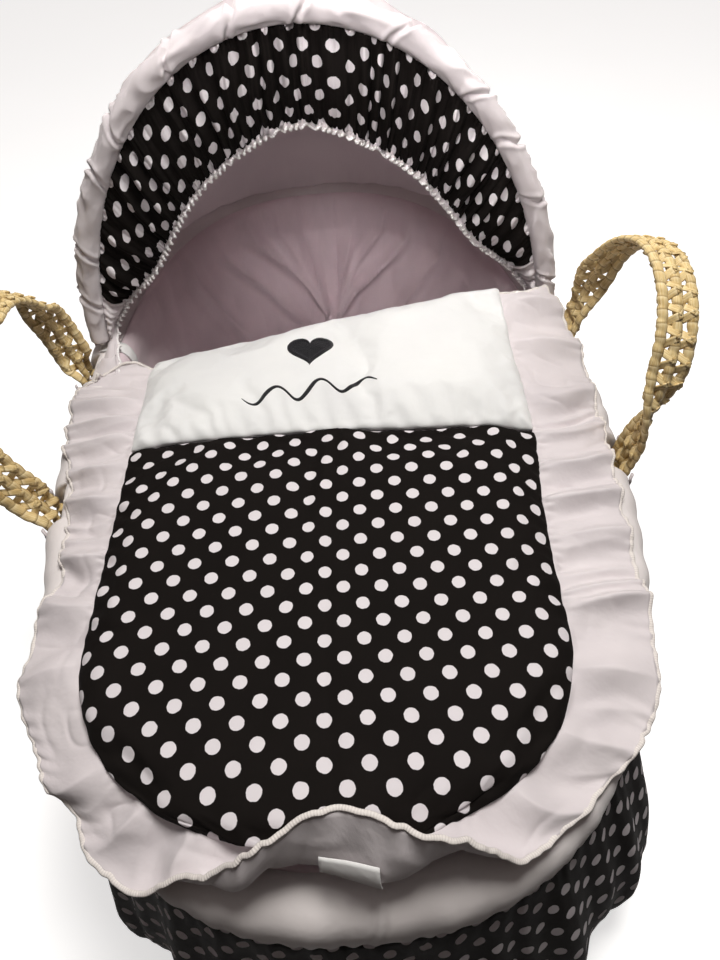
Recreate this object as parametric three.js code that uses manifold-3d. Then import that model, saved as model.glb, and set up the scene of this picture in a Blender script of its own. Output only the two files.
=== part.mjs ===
// A moses basket: a woven oval tub dressed in a padded white liner and a gathered polka dot
// skirt, with a mattress, two strap handles, a folding hood on a hoop and a quilted coverlet.
// Millimetres. +Z is up, +Y points at the head end, and the origin is the middle of the underside.
import * as THREE from "three";
import { mergeVertices } from "three/addons/utils/BufferGeometryUtils.js";
import Module from "manifold-3d";

// ---------- driving dimensions ----------

const GAP = 0.3; // left between two faces that touch
const OVAL_POWER = 2.4; // superellipse power of every oval outline
const OVAL_SIDES = 48;

// The woven tub.
const TUB = {
  baseA: 168, // half width at the foot of the wall
  baseB: 345, // half length at the foot of the wall
  topA: 229,
  topB: 400,
  height: 226,
  wall: 9,
  taper: 0.8, // below 1 the wall bellies outwards
  levels: 4,
  floor: 8,
};
const BRAID = { a: 225, b: 396, radius: 9, z: 236.5, sides: 8 };

// The padded liner: floor panel, wall, and the roll that turns over the rim.
const LINER = { floor: 2, floorZ: 8.5, bottomZ: 11, wallTop: 224, pad: 11, clear: 1 };
const ROLL = {
  outerA: 245,
  outerB: 416,
  width: 40, // across the roll, from the outside to the inside of the basket
  outerCloth: 7,
  innerCloth: 7,
  seamZ: 211, // where the skirt is sewn on
  innerSeamZ: 224.3,
  topZ: 252,
  underZ: 246.3,
};
const SKIRT = { cloth: 2.5, topZ: 210.7, hemZ: 42, flare: 21 };

const MATTRESS = { a: 150, b: 326, bottomZ: 11, seamZ: 27, topZ: 43, cloth: 1.2 };

// The strap handles. Each stands on a hinge line along Y, one strap thickness inside the roll.
const HANDLE = {
  hingeX: 240,
  hingeZ: 237,
  midY: 2,
  halfSpan: 88,
  leg: 48, // straight part of each leg
  rise: 97, // from the top of the legs to the middle of the arch
  width: 36,
  thick: 6,
  leanLeft: 9, // degrees outwards from upright
  leanRight: 14,
  archSteps: 18,
};
const ANCHOR = { bottomZ: 110, topZ: 233.5, off: 6 };
const SLOT = { halfWidth: 21, depth: 11, binding: 2.5 };

// The hood: a half ellipse hoop that leans back a little, in a cloth casing.
const HOOD = {
  hingeY: 114,
  hingeZ: 259,
  baseZ: 240, // level of the middle of the ellipse
  lean: 5, // degrees back from upright
  halfWidth: 222,
  height: 291,
  rod: 3.5,
  casingWide: 11, // half the casing's size across the hoop
  casingDeep: 8, // half its size front to back
  casingBore: 4.6,
  casingFoot: 5, // height of the casing's ends above the hinge line
  cloth: 2.5,
  edgeBack: 12, // the gathered edge sits this far behind the hoop
  edgeCord: 2.2,
  steps: 28,
};
// The gathered inner edge, as width and height above the middle of the ellipse: half of it.
const HOOD_EDGE = [[206, 36], [184, 62], [155, 86], [130, 120], [98, 157], [58, 186]];
const HOOD_EDGE_TOP = 207;
const WING_SHARE = 0.13; // share of the gathered strip at each end that is plain white cloth

// The coverlet, in its own frame: u across, v towards the head.
const COVER = {
  x: -9,
  y: -150,
  turn: -3, // degrees about Z
  halfWidth: 166,
  footV: -92, // where the rounded foot begins
  footLength: 136,
  footPower: 2.1,
  seamV: 90,
  topV: 238,
  midZ: 268,
  crown: 5,
  headTilt: 24, // the right head corner rises this much and the left one drops as much
  headLift: 2,
  backing: 2,
  padBelow: 4.7,
  panelPad: 5,
  bandPad: 11,
  cloth: 2.7,
};
const FRILL = { side: 44, corner: 30, foot: 18, cloth: 3, sideZ: 257.5, footRise: 30, headRise: 28 };
const MOTIF = { u: -14, v: 180, heart: 21, scrollV: 130, scrollHalf: 57, cord: 1.6, thick: 1.2 };
const LABEL = { u: 17, wide: 34, tall: 17, thick: 0.8 };

const WHITE = { color: 0xf1edef, roughness: 0.85, metalness: 0 };
const POLKA = { color: 0x17131a, roughness: 0.8, metalness: 0 };
const STRAW = { color: 0xd6bb86, roughness: 0.7, metalness: 0 };

const radians = THREE.MathUtils.degToRad;
const lerp = THREE.MathUtils.lerp;
const clamp01 = (t) => THREE.MathUtils.clamp(t, 0, 1);
const vec = (x, y, z) => new THREE.Vector3(x, y, z);

const wasm = await Module();
wasm.setup();

// ---------- closed solids from points ----------

// A geometry from points and triangles, turned so that its faces point outwards.
function solidFrom(points, faces) {
  let volume = 0;
  for (const [i, j, k] of faces) {
    volume += points[i].dot(points[j].clone().cross(points[k]));
  }
  const turned = volume < 0 ? faces.map(([i, j, k]) => [i, k, j]) : faces;
  const geometry = new THREE.BufferGeometry().setFromPoints(points);
  geometry.setIndex(turned.flat());
  return geometry;
}

// Joins a list of equal closed loops into a skin. With ends "ring" the last loop joins the
// first; otherwise the first and last loops are closed by a fan about their middles.
function loftSolid(loops, ends = "capped") {
  const count = loops[0].length;
  const points = loops.flat();
  const faces = [];
  const spans = ends === "ring" ? loops.length : loops.length - 1;
  for (let row = 0; row < spans; row++) {
    const here = row * count;
    const next = ((row + 1) % loops.length) * count;
    for (let i = 0; i < count; i++) {
      const j = (i + 1) % count;
      faces.push([here + i, here + j, next + j], [here + i, next + j, next + i]);
    }
  }
  if (ends === "capped") {
    for (const [row, first] of [[0, true], [loops.length - 1, false]]) {
      const middle = vec(0, 0, 0);
      loops[row].forEach((p) => middle.addScaledVector(p, 1 / count));
      points.push(middle);
      for (let i = 0; i < count; i++) {
        const a = row * count + i;
        const b = row * count + ((i + 1) % count);
        faces.push(first ? [points.length - 1, b, a] : [points.length - 1, a, b]);
      }
    }
  }
  return solidFrom(points, faces);
}

// A sheet with thickness, from two equal grids of points: its front and its back.
function sheetSolid(front, back) {
  const rows = front.length;
  const cols = front[0].length;
  const points = [...front.flat(), ...back.flat()];
  const other = rows * cols;
  const faces = [];
  for (let r = 0; r < rows - 1; r++) {
    for (let c = 0; c < cols - 1; c++) {
      const [a, b] = [r * cols + c, r * cols + c + 1];
      const [d, e] = [a + cols, b + cols];
      faces.push([a, b, e], [a, e, d]);
      faces.push([other + a, other + e, other + b], [other + a, other + d, other + e]);
    }
  }
  const rim = [];
  for (let c = 0; c < cols - 1; c++) rim.push(c);
  for (let r = 0; r < rows - 1; r++) rim.push(r * cols + cols - 1);
  for (let c = cols - 1; c > 0; c--) rim.push((rows - 1) * cols + c);
  for (let r = rows - 1; r > 0; r--) rim.push(r * cols);
  rim.forEach((a, i) => {
    const b = rim[(i + 1) % rim.length];
    faces.push([a, other + a, other + b], [a, other + b, b]);
  });
  return solidFrom(points, faces);
}

// A grid of points from a function of row and column shares, each from 0 to 1.
function grid(rows, cols, pointAt) {
  return Array.from({ length: rows + 1 }, (_, r) =>
    Array.from({ length: cols + 1 }, (_, c) => pointAt(r / rows, c / cols)),
  );
}

// The loop of a flat section about a centre, spanned by two directions.
function sectionLoop(centre, wide, deep, sides) {
  return Array.from({ length: sides }, (_, i) => {
    const angle = (2 * Math.PI * i) / sides;
    return centre.clone().addScaledVector(wide, Math.cos(angle)).addScaledVector(deep, Math.sin(angle));
  });
}

// A geometry as a manifold solid, for cutting.
function toManifold(geometry) {
  const merged = mergeVertices(geometry, 1e-4);
  const mesh = new wasm.Mesh({
    numProp: 3,
    vertProperties: merged.attributes.position.array,
    triVerts: new Uint32Array(merged.index.array),
  });
  return new wasm.Manifold(mesh);
}

function fromManifold(solid) {
  const mesh = solid.getMesh();
  const geometry = new THREE.BufferGeometry();
  geometry.setAttribute("position", new THREE.BufferAttribute(mesh.vertProperties, 3));
  geometry.setIndex(new THREE.BufferAttribute(mesh.triVerts, 1));
  return geometry;
}

function boxManifold(low, high) {
  const size = high.clone().sub(low);
  const box = new THREE.BoxGeometry(size.x, size.y, size.z);
  box.deleteAttribute("normal");
  box.deleteAttribute("uv");
  box.translate(...low.clone().add(high).multiplyScalar(0.5).toArray());
  return toManifold(box);
}

// ---------- oval outlines ----------

function ovalLoop(a, b, z) {
  const power = 2 / OVAL_POWER;
  return Array.from({ length: OVAL_SIDES }, (_, i) => {
    const angle = (2 * Math.PI * i) / OVAL_SIDES;
    const [c, s] = [Math.cos(angle), Math.sin(angle)];
    return vec(a * Math.sign(c) * Math.abs(c) ** power, b * Math.sign(s) * Math.abs(s) ** power, z);
  });
}

// The half width of an oval at a distance y along it.
function ovalX(a, b, y) {
  return a * (1 - Math.abs(y / b) ** OVAL_POWER) ** (1 / OVAL_POWER);
}

// A ring round the basket, from a closed profile of [inset from the roll's outside, z].
function ringSolid(profile) {
  const loops = profile.map(([inset, z]) => ovalLoop(ROLL.outerA - inset, ROLL.outerB - inset, z));
  return loftSolid(loops, "ring");
}

// How far out the outside of the tub's wall is at height z, as half width and half length. The
// wall is straight between its levels.
function tubSize(z) {
  const level = Math.min(Math.floor((z / TUB.height) * TUB.levels), TUB.levels - 1);
  const bulge = (step) => (step / TUB.levels) ** TUB.taper;
  const share = lerp(bulge(level), bulge(level + 1), (z / TUB.height) * TUB.levels - level);
  return [lerp(TUB.baseA, TUB.topA, share), lerp(TUB.baseB, TUB.topB, share)];
}

// A wall that follows the tub, from one inset to another, between two heights.
function tubWall(outerInset, innerInset, lowZ, highZ) {
  const levels = Array.from({ length: TUB.levels }, (_, i) => (TUB.height * i) / TUB.levels);
  const heights = [lowZ, ...levels.filter((z) => z > lowZ && z < highZ), highZ];
  const loopAt = (inset) => (z) => ovalLoop(tubSize(z)[0] - inset, tubSize(z)[1] - inset, z);
  return loftSolid([...heights.map(loopAt(outerInset)), ...heights.reverse().map(loopAt(innerInset))], "ring");
}

function plate(a, b, lowZ, highZ) {
  return loftSolid([ovalLoop(a, b, lowZ), ovalLoop(a, b, highZ)]);
}

// ---------- the woven basket ----------

function makeTubFloor() {
  return plate(TUB.baseA - TUB.wall - GAP, TUB.baseB - TUB.wall - GAP, 0, TUB.floor);
}

function makeTubWall() {
  return tubWall(0, TUB.wall, 0, TUB.height);
}

function makeRimBraid() {
  const loops = Array.from({ length: BRAID.sides }, (_, i) => {
    const angle = (2 * Math.PI * i) / BRAID.sides;
    const out = BRAID.radius * Math.cos(angle);
    return ovalLoop(BRAID.a + out, BRAID.b + out, BRAID.z + BRAID.radius * Math.sin(angle));
  });
  return loftSolid(loops, "ring");
}

// ---------- the liner and the skirt ----------

function makeLinerFloor() {
  const inset = TUB.wall + LINER.clear + 1;
  const [a, b] = tubSize(LINER.floorZ);
  return plate(a - inset, b - inset, LINER.floorZ, LINER.floorZ + LINER.floor);
}

function makeLinerWall() {
  const outer = TUB.wall + LINER.clear;
  return tubWall(outer, outer + LINER.pad, LINER.bottomZ, LINER.wallTop);
}

// The roll over the rim is an upturned channel, slotted on the outside for the four strap legs.
function makeLinerRoll() {
  const [cloth, inner, wide] = [ROLL.outerCloth, ROLL.innerCloth, ROLL.width];
  const shoulder = 8;
  const profile = [
    [1, ROLL.seamZ],
    [0, ROLL.topZ - 2 * shoulder],
    [shoulder / 3, ROLL.topZ - shoulder / 2],
    [shoulder, ROLL.topZ],
    [wide - shoulder, ROLL.topZ],
    [wide - shoulder / 3, ROLL.topZ - shoulder / 2],
    [wide, ROLL.topZ - 2 * shoulder],
    [wide, ROLL.innerSeamZ],
    [wide - inner, ROLL.innerSeamZ],
    [wide - inner, ROLL.underZ],
    [cloth, ROLL.underZ],
    [cloth + 1, ROLL.seamZ],
  ];
  let roll = toManifold(ringSolid(profile));
  for (const side of [-1, 1]) {
    for (const legY of legPositions()) {
      roll = roll.subtract(slotCut(side, legY));
    }
  }
  return fromManifold(roll);
}

// A box that opens one slot through the outside of the roll.
function slotCut(side, legY) {
  const [near, far] = [HANDLE.hingeX - SLOT.depth, ROLL.outerA + 10];
  const low = vec(side > 0 ? near : -far, legY - SLOT.halfWidth, ROLL.seamZ - 10);
  const high = vec(side > 0 ? far : -near, legY + SLOT.halfWidth, ROLL.topZ + 10);
  return boxManifold(low, high);
}

// The binding sewn round the bottom and sides of one slot.
function makeSlotBinding(side, legY) {
  const half = SLOT.halfWidth + SLOT.binding / 2 + GAP;
  const lowZ = ROLL.seamZ + SLOT.binding;
  const highZ = ROLL.topZ - 16;
  const path = [[-half, highZ], [-half, lowZ], [half, lowZ], [half, highZ]];
  const across = [[-1, 1], [-1, -1], [1, -1], [1, 1]]; // which way each corner's mitre runs
  const surface = (out) =>
    path.map(([dy, z], i) =>
      [-1, 1].map((w) => {
        const y = legY + dy + (w * across[i][0] * SLOT.binding) / 2;
        const rise = i === 1 || i === 2 ? (w * across[i][1] * SLOT.binding) / 2 : 0;
        return vec(side * (ovalX(ROLL.outerA, ROLL.outerB, y) + out), y, z + rise);
      }),
    );
  return sheetSolid(surface(GAP), surface(GAP + 1.8));
}

// The skirt hangs from the roll's lower seam and flares to its hem.
function makeSkirt() {
  const steps = 4;
  const profile = (inset) =>
    Array.from({ length: steps + 1 }, (_, i) => {
      const share = i / steps;
      const flare = SKIRT.flare * Math.sin((Math.PI / 2) * share);
      return [inset - flare, lerp(SKIRT.topZ, SKIRT.hemZ, share)];
    });
  return ringSolid([...profile(-1), ...profile(SKIRT.cloth - 1).reverse()]);
}

// ---------- the mattress ----------

// Half of the cover, as a tray: from its closed face to its open edge.
function mattressTray(faceZ, edgeZ) {
  const { a, b, cloth } = MATTRESS;
  const innerZ = faceZ + cloth * Math.sign(edgeZ - faceZ);
  return loftSolid([
    ovalLoop(a, b, faceZ),
    ovalLoop(a, b, edgeZ),
    ovalLoop(a - cloth, b - cloth, edgeZ),
    ovalLoop(a - cloth, b - cloth, innerZ),
  ]);
}

function makeMattressFoam() {
  const inset = MATTRESS.cloth + GAP;
  const { a, b, bottomZ, topZ } = MATTRESS;
  return plate(a - inset, b - inset, bottomZ + inset, topZ - inset);
}

// ---------- the handles ----------

function legPositions() {
  return [HANDLE.midY - HANDLE.halfSpan, HANDLE.midY + HANDLE.halfSpan];
}

// The middle line of an arch in its own plane, as [y, height, direction of travel].
function archLine() {
  const { midY, halfSpan, leg, rise, archSteps } = HANDLE;
  const line = [1, leg / 3, (leg * 2) / 3].map((h) => ({ y: midY - halfSpan, h, run: [0, 1] }));
  for (let i = 0; i <= archSteps; i++) {
    const angle = Math.PI * (1 - i / archSteps);
    const run = [halfSpan * Math.sin(angle), -rise * Math.cos(angle)];
    const length = Math.hypot(...run);
    line.push({
      y: midY + halfSpan * Math.cos(angle),
      h: leg + rise * Math.sin(angle),
      run: run.map((part) => part / length),
    });
  }
  [(leg * 2) / 3, leg / 3, 1].forEach((h) => line.push({ y: midY + halfSpan, h, run: [0, -1] }));
  return line;
}

// How far the strap is turned out of its belt-like lie, in degrees, at a height on one leg:
// at its foot it lies along the basket's side, and over the arch it lies flat like a belt.
function strapTurn(height) {
  return 90 * (1 - THREE.MathUtils.smoothstep(height, 24, 100));
}

function makeHandle(side, lean) {
  const angle = radians(lean);
  const up = vec(side * Math.sin(angle), 0, Math.cos(angle));
  const out = vec(side * Math.cos(angle), 0, -Math.sin(angle));
  const foot = vec(side * HANDLE.hingeX, 0, HANDLE.hingeZ);
  const loops = archLine().map(({ y, h, run }) => {
    const centre = foot.clone().addScaledVector(up, h).setY(y);
    const along = up.clone().multiplyScalar(run[1]).setY(run[0]);
    const inPlane = along.clone().cross(out);
    const turn = radians(strapTurn(h));
    const wide = out.clone().multiplyScalar(Math.cos(turn)).addScaledVector(inPlane, Math.sin(turn));
    const thick = along.clone().cross(wide);
    return [[-1, -1], [1, -1], [1, 1], [-1, 1]].map(([w, t]) =>
      centre
        .clone()
        .addScaledVector(wide, (w * HANDLE.width) / 2)
        .addScaledVector(thick, (t * HANDLE.thick) / 2),
    );
  });
  return loftSolid(loops);
}

// The strap's fixed end lies on the outside of the tub and comes up through the slot.
function anchorX(z, legY) {
  const onWall = ovalX(...tubSize(Math.min(z, 200)), legY) + ANCHOR.off;
  const bend = clamp01((z - 200) / (ANCHOR.topZ - 200));
  return lerp(onWall, HANDLE.hingeX, Math.sin((Math.PI / 2) * bend));
}

function makeAnchor(side, legY) {
  const heights = [ANCHOR.bottomZ, 140, 170, 200, 210, 220, ANCHOR.topZ];
  const face = (out) =>
    heights.map((z) =>
      [-1, 1].map((w) => vec(side * (anchorX(z, legY) + out), legY + (w * HANDLE.width) / 2, z)),
    );
  return sheetSolid(face(-HANDLE.thick / 2), face(HANDLE.thick / 2));
}

// A flat stitch of palm leaf that holds the fixed end to the wall.
function makeLashing(side, legY) {
  const [lowZ, highZ, half] = [148, 158, HANDLE.width / 2 + 4];
  const face = (out) =>
    [lowZ, highZ].map((z) =>
      [-1, 1].map((w) => vec(side * (anchorX(z, legY) + HANDLE.thick / 2 + out), legY + w * half, z)),
    );
  return sheetSolid(face(GAP), face(GAP + 2));
}

// ---------- the hood ----------

// A point in the hoop's frame: x, height up the leaning plane from the ellipse's middle, and
// depth behind the plane.
function hoodPoint(x, height, depth) {
  const lean = radians(HOOD.lean);
  const footY = HOOD.hingeY - (HOOD.hingeZ - HOOD.baseZ) * Math.tan(lean);
  return vec(
    x,
    footY + height * Math.sin(lean) + depth * Math.cos(lean),
    HOOD.baseZ + height * Math.cos(lean) - depth * Math.sin(lean),
  );
}

// The hoop's middle line moved outwards: x and height at an angle.
function hoopAt(angle, out) {
  const { halfWidth, height } = HOOD;
  const normal = new THREE.Vector2(Math.cos(angle) / halfWidth, Math.sin(angle) / height).normalize();
  return [halfWidth * Math.cos(angle) + out * normal.x, height * Math.sin(angle) + out * normal.y];
}

// The hoop angle whose middle line is this far above the hinge line.
function hoopStart(above) {
  return Math.asin((HOOD.hingeZ - HOOD.baseZ + above) / HOOD.height);
}

// Loops of a tube on the hoop, with half sizes across the hoop and front to back.
function hoopLoops(above, halfWide, halfDeep, sides) {
  const first = hoopStart(above);
  return Array.from({ length: HOOD.steps + 1 }, (_, i) => {
    const angle = lerp(first, Math.PI - first, i / HOOD.steps);
    return Array.from({ length: sides }, (_, k) => {
      const turn = (2 * Math.PI * k) / sides;
      const [x, height] = hoopAt(angle, halfWide * Math.cos(turn));
      return hoodPoint(x, height, halfDeep * Math.sin(turn));
    });
  });
}

function makeHoop() {
  return loftSolid(hoopLoops(0, HOOD.rod, HOOD.rod, 8));
}

// The casing is a tube with the hoop's channel right through it.
function makeCasing() {
  const outer = hoopLoops(HOOD.casingFoot, HOOD.casingWide, HOOD.casingDeep, 10);
  const inner = hoopLoops(HOOD.casingFoot, HOOD.casingBore, HOOD.casingBore, 10);
  return loftSolid([...outer, ...inner.reverse()], "ring");
}

const hoodEdge = new THREE.CatmullRomCurve3([
  ...HOOD_EDGE.map(([x, h]) => vec(x, h, 0)),
  vec(0, HOOD_EDGE_TOP, 0),
  ...HOOD_EDGE.map(([x, h]) => vec(-x, h, 0)).reverse(),
]);

// A point of the gathered strip: along from the right end to the left, across from the casing
// to the gathered edge, and a depth behind its face.
function stripPoint(along, across, behind) {
  const first = hoopStart(HOOD.casingFoot + 3);
  const [seamX, seamH] = hoopAt(lerp(first, Math.PI - first, along), -HOOD.casingWide - 1);
  const edge = hoodEdge.getPointAt(along);
  const puff = -6 * Math.sin(Math.PI * across);
  return hoodPoint(
    lerp(seamX, edge.x, across),
    lerp(seamH, edge.y, across),
    puff + HOOD.edgeBack * across + behind,
  );
}

function makeStrip(from, to, steps) {
  const face = (behind) => grid(steps, 4, (s, t) => stripPoint(lerp(from, to, s), t, behind));
  return sheetSolid(face(0), face(HOOD.cloth));
}

// The corded edge runs just inside the gathered strip, round the mouth of the hood.
function makeHoodEdge() {
  const radius = HOOD.edgeCord;
  const loops = Array.from({ length: HOOD.steps + 1 }, (_, i) => {
    const share = i / HOOD.steps;
    const at = hoodEdge.getPointAt(share);
    const along = hoodEdge.getTangentAt(share);
    const inward = new THREE.Vector2(-along.y, along.x);
    return Array.from({ length: 6 }, (_, k) => {
      const turn = (2 * Math.PI * k) / 6;
      const off = radius + 0.6 + radius * Math.cos(turn);
      return hoodPoint(
        at.x + inward.x * off,
        at.y + inward.y * off,
        HOOD.edgeBack + HOOD.cloth / 2 + radius * Math.sin(turn),
      );
    });
  });
  return loftSolid(loops);
}

// The white cover fans out from the back of the casing to the rim at the head.
function coverPoint(around, back, inset) {
  const first = hoopStart(HOOD.casingFoot + 2);
  const [hoopX, hoopH] = hoopAt(lerp(first, Math.PI - first, around), HOOD.casingWide - 6 - inset);
  const front = hoodPoint(hoopX, hoopH, HOOD.casingDeep + 2);
  const rimA = ROLL.outerA - 12 - inset;
  const rimX = hoopX * (ovalX(rimA, ROLL.outerB - 12, HOOD.hingeY) / HOOD.halfWidth);
  const rimY = ovalX(ROLL.outerB - 12 - inset, rimA, Math.min(Math.abs(rimX), rimA));
  const rimRun = Math.max(rimY - HOOD.hingeY, 12);
  const reach = Math.hypot(front.y - HOOD.hingeY, front.z - HOOD.hingeZ);
  const startTilt = Math.atan2(front.y - HOOD.hingeY, front.z - HOOD.hingeZ);
  const tilt = lerp(startTilt, Math.PI / 2 - 0.01, back);
  const radius = lerp(reach, rimRun, back) + 10 * Math.sin(Math.PI * back) * Math.min(reach / HOOD.height, 1);
  return vec(
    lerp(hoopX, rimX, back),
    HOOD.hingeY + radius * Math.sin(tilt),
    HOOD.hingeZ + radius * Math.cos(tilt),
  );
}

function makeHoodCover() {
  const face = (inset) => grid(22, 10, (s, t) => coverPoint(s, t, inset));
  return sheetSolid(face(0), face(HOOD.cloth));
}

// The tape that ties one foot of the hoop down, from the inside of the roll to its top.
function makeHoodTie(side) {
  const clear = 1.4;
  const rollInner = ovalX(ROLL.outerA - ROLL.width, ROLL.outerB - ROLL.width, HOOD.hingeY) - clear;
  const overTop = HOOD.halfWidth + HOOD.rod;
  const [lowZ, topZ, half] = [222, ROLL.topZ + 0.5, 7];
  const path = [[rollInner, lowZ, -1, 0], [rollInner, topZ, -1, 1], [overTop, topZ, 0, 1]];
  const face = (out) =>
    path.map(([x, z, outX, outZ]) =>
      [-half, half].map((dy) => vec(side * (x + outX * out), HOOD.hingeY + dy, z + outZ * out)),
    );
  return sheetSolid(face(0), face(1.6));
}

// ---------- the coverlet ----------

function coverletPoint(u, v, z) {
  const turn = radians(COVER.turn);
  return vec(
    COVER.x + u * Math.cos(turn) - v * Math.sin(turn),
    COVER.y + u * Math.sin(turn) + v * Math.cos(turn),
    z,
  );
}

// The height of the coverlet's middle layer.
function coverletZ(u, v) {
  const across = u / COVER.halfWidth;
  const head = clamp01((v - COVER.seamV) / (COVER.topV - COVER.seamV)) ** 1.3;
  const crown = COVER.crown * (1 - across * across);
  return COVER.midZ + crown + head * (COVER.headLift + COVER.headTilt * across);
}

// The coverlet's half width at v: straight sides and a rounded foot.
function coverletHalf(v) {
  const share = clamp01((COVER.footV - v) / COVER.footLength);
  return COVER.halfWidth * (1 - share ** COVER.footPower) ** (1 / COVER.footPower);
}

// v of a row in the rounded foot, spaced evenly round the curve, from its start to near its end.
function footRow(share) {
  return COVER.footV - COVER.footLength * Math.sin(radians(78) * share);
}

// One layer of the coverlet between two heights, over a list of rows in v.
function coverletLayer(rows, inset, low, high) {
  const face = (rise) =>
    rows.map((v) =>
      Array.from({ length: 9 }, (_, i) => {
        const u = (coverletHalf(v) - inset) * (i / 4 - 1);
        return coverletPoint(u, v, coverletZ(u, v) + rise);
      }),
    );
  return sheetSolid(face(low), face(high));
}

const FOOT_ROWS = [1, 0.86, 0.7, 0.52, 0.34, 0.17].map(footRow);
const PANEL_ROWS = [...FOOT_ROWS, COVER.footV, -60, -10, 40, COVER.seamV - GAP];
const BAND_ROWS = [0, 0.25, 0.5, 0.75, 1].map((s) => lerp(COVER.seamV, COVER.topV, s));
const BACKING_ROWS = [...PANEL_ROWS.slice(0, -1), ...BAND_ROWS];

function makeCoverletBacking() {
  const top = -COVER.padBelow - GAP;
  return coverletLayer(BACKING_ROWS, 0, top - COVER.backing, top);
}

function makeWadding(rows, thick) {
  return coverletLayer(rows, 4, -COVER.padBelow, thick);
}

function makeCloth(rows, thick) {
  return coverletLayer(rows, 0, thick + GAP, thick + GAP + COVER.cloth);
}

// The edge of the coverlet that carries the frill: down the left side, round the foot and up
// the right side. Each entry is [u, v, outward u, outward v].
function frillEdge() {
  const sides = [COVER.topV - 12, 170, COVER.seamV, 20, -45];
  const edge = sides.map((v) => [-COVER.halfWidth, v, -1, 0]);
  const steps = 18;
  for (let i = 0; i <= steps; i++) {
    const angle = Math.PI * (1 + i / steps);
    const [c, s] = [Math.cos(angle), Math.sin(angle)];
    const power = 2 / COVER.footPower;
    const u = COVER.halfWidth * Math.sign(c) * Math.abs(c) ** power;
    edge.push([u, COVER.footV - COVER.footLength * Math.abs(s) ** power, c, s]);
  }
  sides.reverse().forEach((v) => edge.push([COVER.halfWidth, v, 1, 0]));
  return edge;
}

// The frill's width: it narrows from the sides to the foot's corners and to the foot.
function frillReach(v, foot) {
  const corner = THREE.MathUtils.smoothstep(COVER.seamV - 40 - v, 0, 130);
  return lerp(lerp(FRILL.side, FRILL.corner, corner), FRILL.foot, foot);
}

function makeFrill() {
  const face = (drop) =>
    frillEdge().map(([u, v, outU, outV]) =>
      [0, 0.33, 0.67, 1].map((share) => {
        const foot = outV * outV;
        const reach = 1 + share * frillReach(v, foot);
        const head = outU * clamp01((v - COVER.seamV) / (COVER.topV - COVER.seamV));
        const rimZ = FRILL.sideZ + FRILL.headRise * Math.max(head, 0) + foot * FRILL.footRise;
        const z = lerp(coverletZ(u, v), rimZ, THREE.MathUtils.smoothstep(share, 0, 0.9));
        return coverletPoint(u + outU * reach, v + outV * reach, z - drop);
      }),
    );
  return sheetSolid(face(-FRILL.cloth / 2), face(FRILL.cloth / 2));
}

// A point on top of the coverlet's white band.
function onBand(u, v, above) {
  return coverletPoint(u, v, coverletZ(u, v) + COVER.bandPad + COVER.cloth + 2 * GAP + above);
}

// The embroidered heart.
function makeHeart() {
  const loop = (above) =>
    Array.from({ length: 32 }, (_, i) => {
      const t = (2 * Math.PI * i) / 32;
      const x = Math.sin(t) ** 3;
      const y = (13 * Math.cos(t) - 5 * Math.cos(2 * t) - 2 * Math.cos(3 * t) - Math.cos(4 * t)) / 16;
      return onBand(MOTIF.u + MOTIF.heart * x, MOTIF.v + MOTIF.heart * y, above);
    });
  return loftSolid([loop(0.2), loop(0.2 + MOTIF.thick)]);
}

// The embroidered flourish below the heart: one line that rises and falls towards its ends.
function makeFlourish() {
  const steps = 36;
  const loops = Array.from({ length: steps + 1 }, (_, i) => {
    const s = lerp(-1, 1, i / steps);
    const u = MOTIF.u + MOTIF.scrollHalf * s;
    const v = MOTIF.scrollV + 7 * Math.sin(3 * Math.PI * s) * (1 - 0.3 * s * s);
    const centre = onBand(u, v, MOTIF.cord + 0.2);
    return sectionLoop(centre, vec(0, MOTIF.cord, 0), vec(0, 0, MOTIF.cord), 6);
  });
  return loftSolid(loops);
}

// The blank label sewn inside the foot of the frill.
function makeLabel() {
  const v = COVER.footV - COVER.footLength - 2;
  const z = coverletZ(0, v) + COVER.panelPad + COVER.cloth + 1.5;
  const face = (out) =>
    [0, LABEL.tall].map((rise) =>
      [-1, 1].map((w) => coverletPoint(LABEL.u + (w * LABEL.wide) / 2, v + out, z + rise)),
    );
  return sheetSolid(face(0), face(LABEL.thick));
}

// ---------- the assembly ----------

const basket = new THREE.Group();

function add(name, geometry, finish) {
  geometry.computeVertexNormals();
  const mesh = new THREE.Mesh(geometry, new THREE.MeshStandardMaterial(finish));
  mesh.name = name;
  basket.add(mesh);
}

add("basket_floor", makeTubFloor(), STRAW);
add("basket_wall", makeTubWall(), STRAW);
add("rim_braid", makeRimBraid(), STRAW);

add("liner_floor", makeLinerFloor(), WHITE);
add("liner_wall", makeLinerWall(), WHITE);
add("liner_roll", makeLinerRoll(), WHITE);
add("skirt", makeSkirt(), POLKA);

add("mattress_foam", makeMattressFoam(), WHITE);
add("mattress_cover_base", mattressTray(MATTRESS.bottomZ, MATTRESS.seamZ - GAP), WHITE);
add("mattress_cover_top", mattressTray(MATTRESS.topZ, MATTRESS.seamZ), WHITE);

for (const [side, word, lean] of [[-1, "left", HANDLE.leanLeft], [1, "right", HANDLE.leanRight]]) {
  add(`handle_${word}`, makeHandle(side, lean), STRAW);
  legPositions().forEach((legY, i) => {
    const end = `${word}_${i === 0 ? "foot" : "head"}`;
    add(`handle_anchor_${end}`, makeAnchor(side, legY), STRAW);
    add(`handle_lashing_${end}`, makeLashing(side, legY), STRAW);
    add(`slot_binding_${end}`, makeSlotBinding(side, legY), WHITE);
  });
  add(`hood_tie_${word}`, makeHoodTie(side), WHITE);
}

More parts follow.
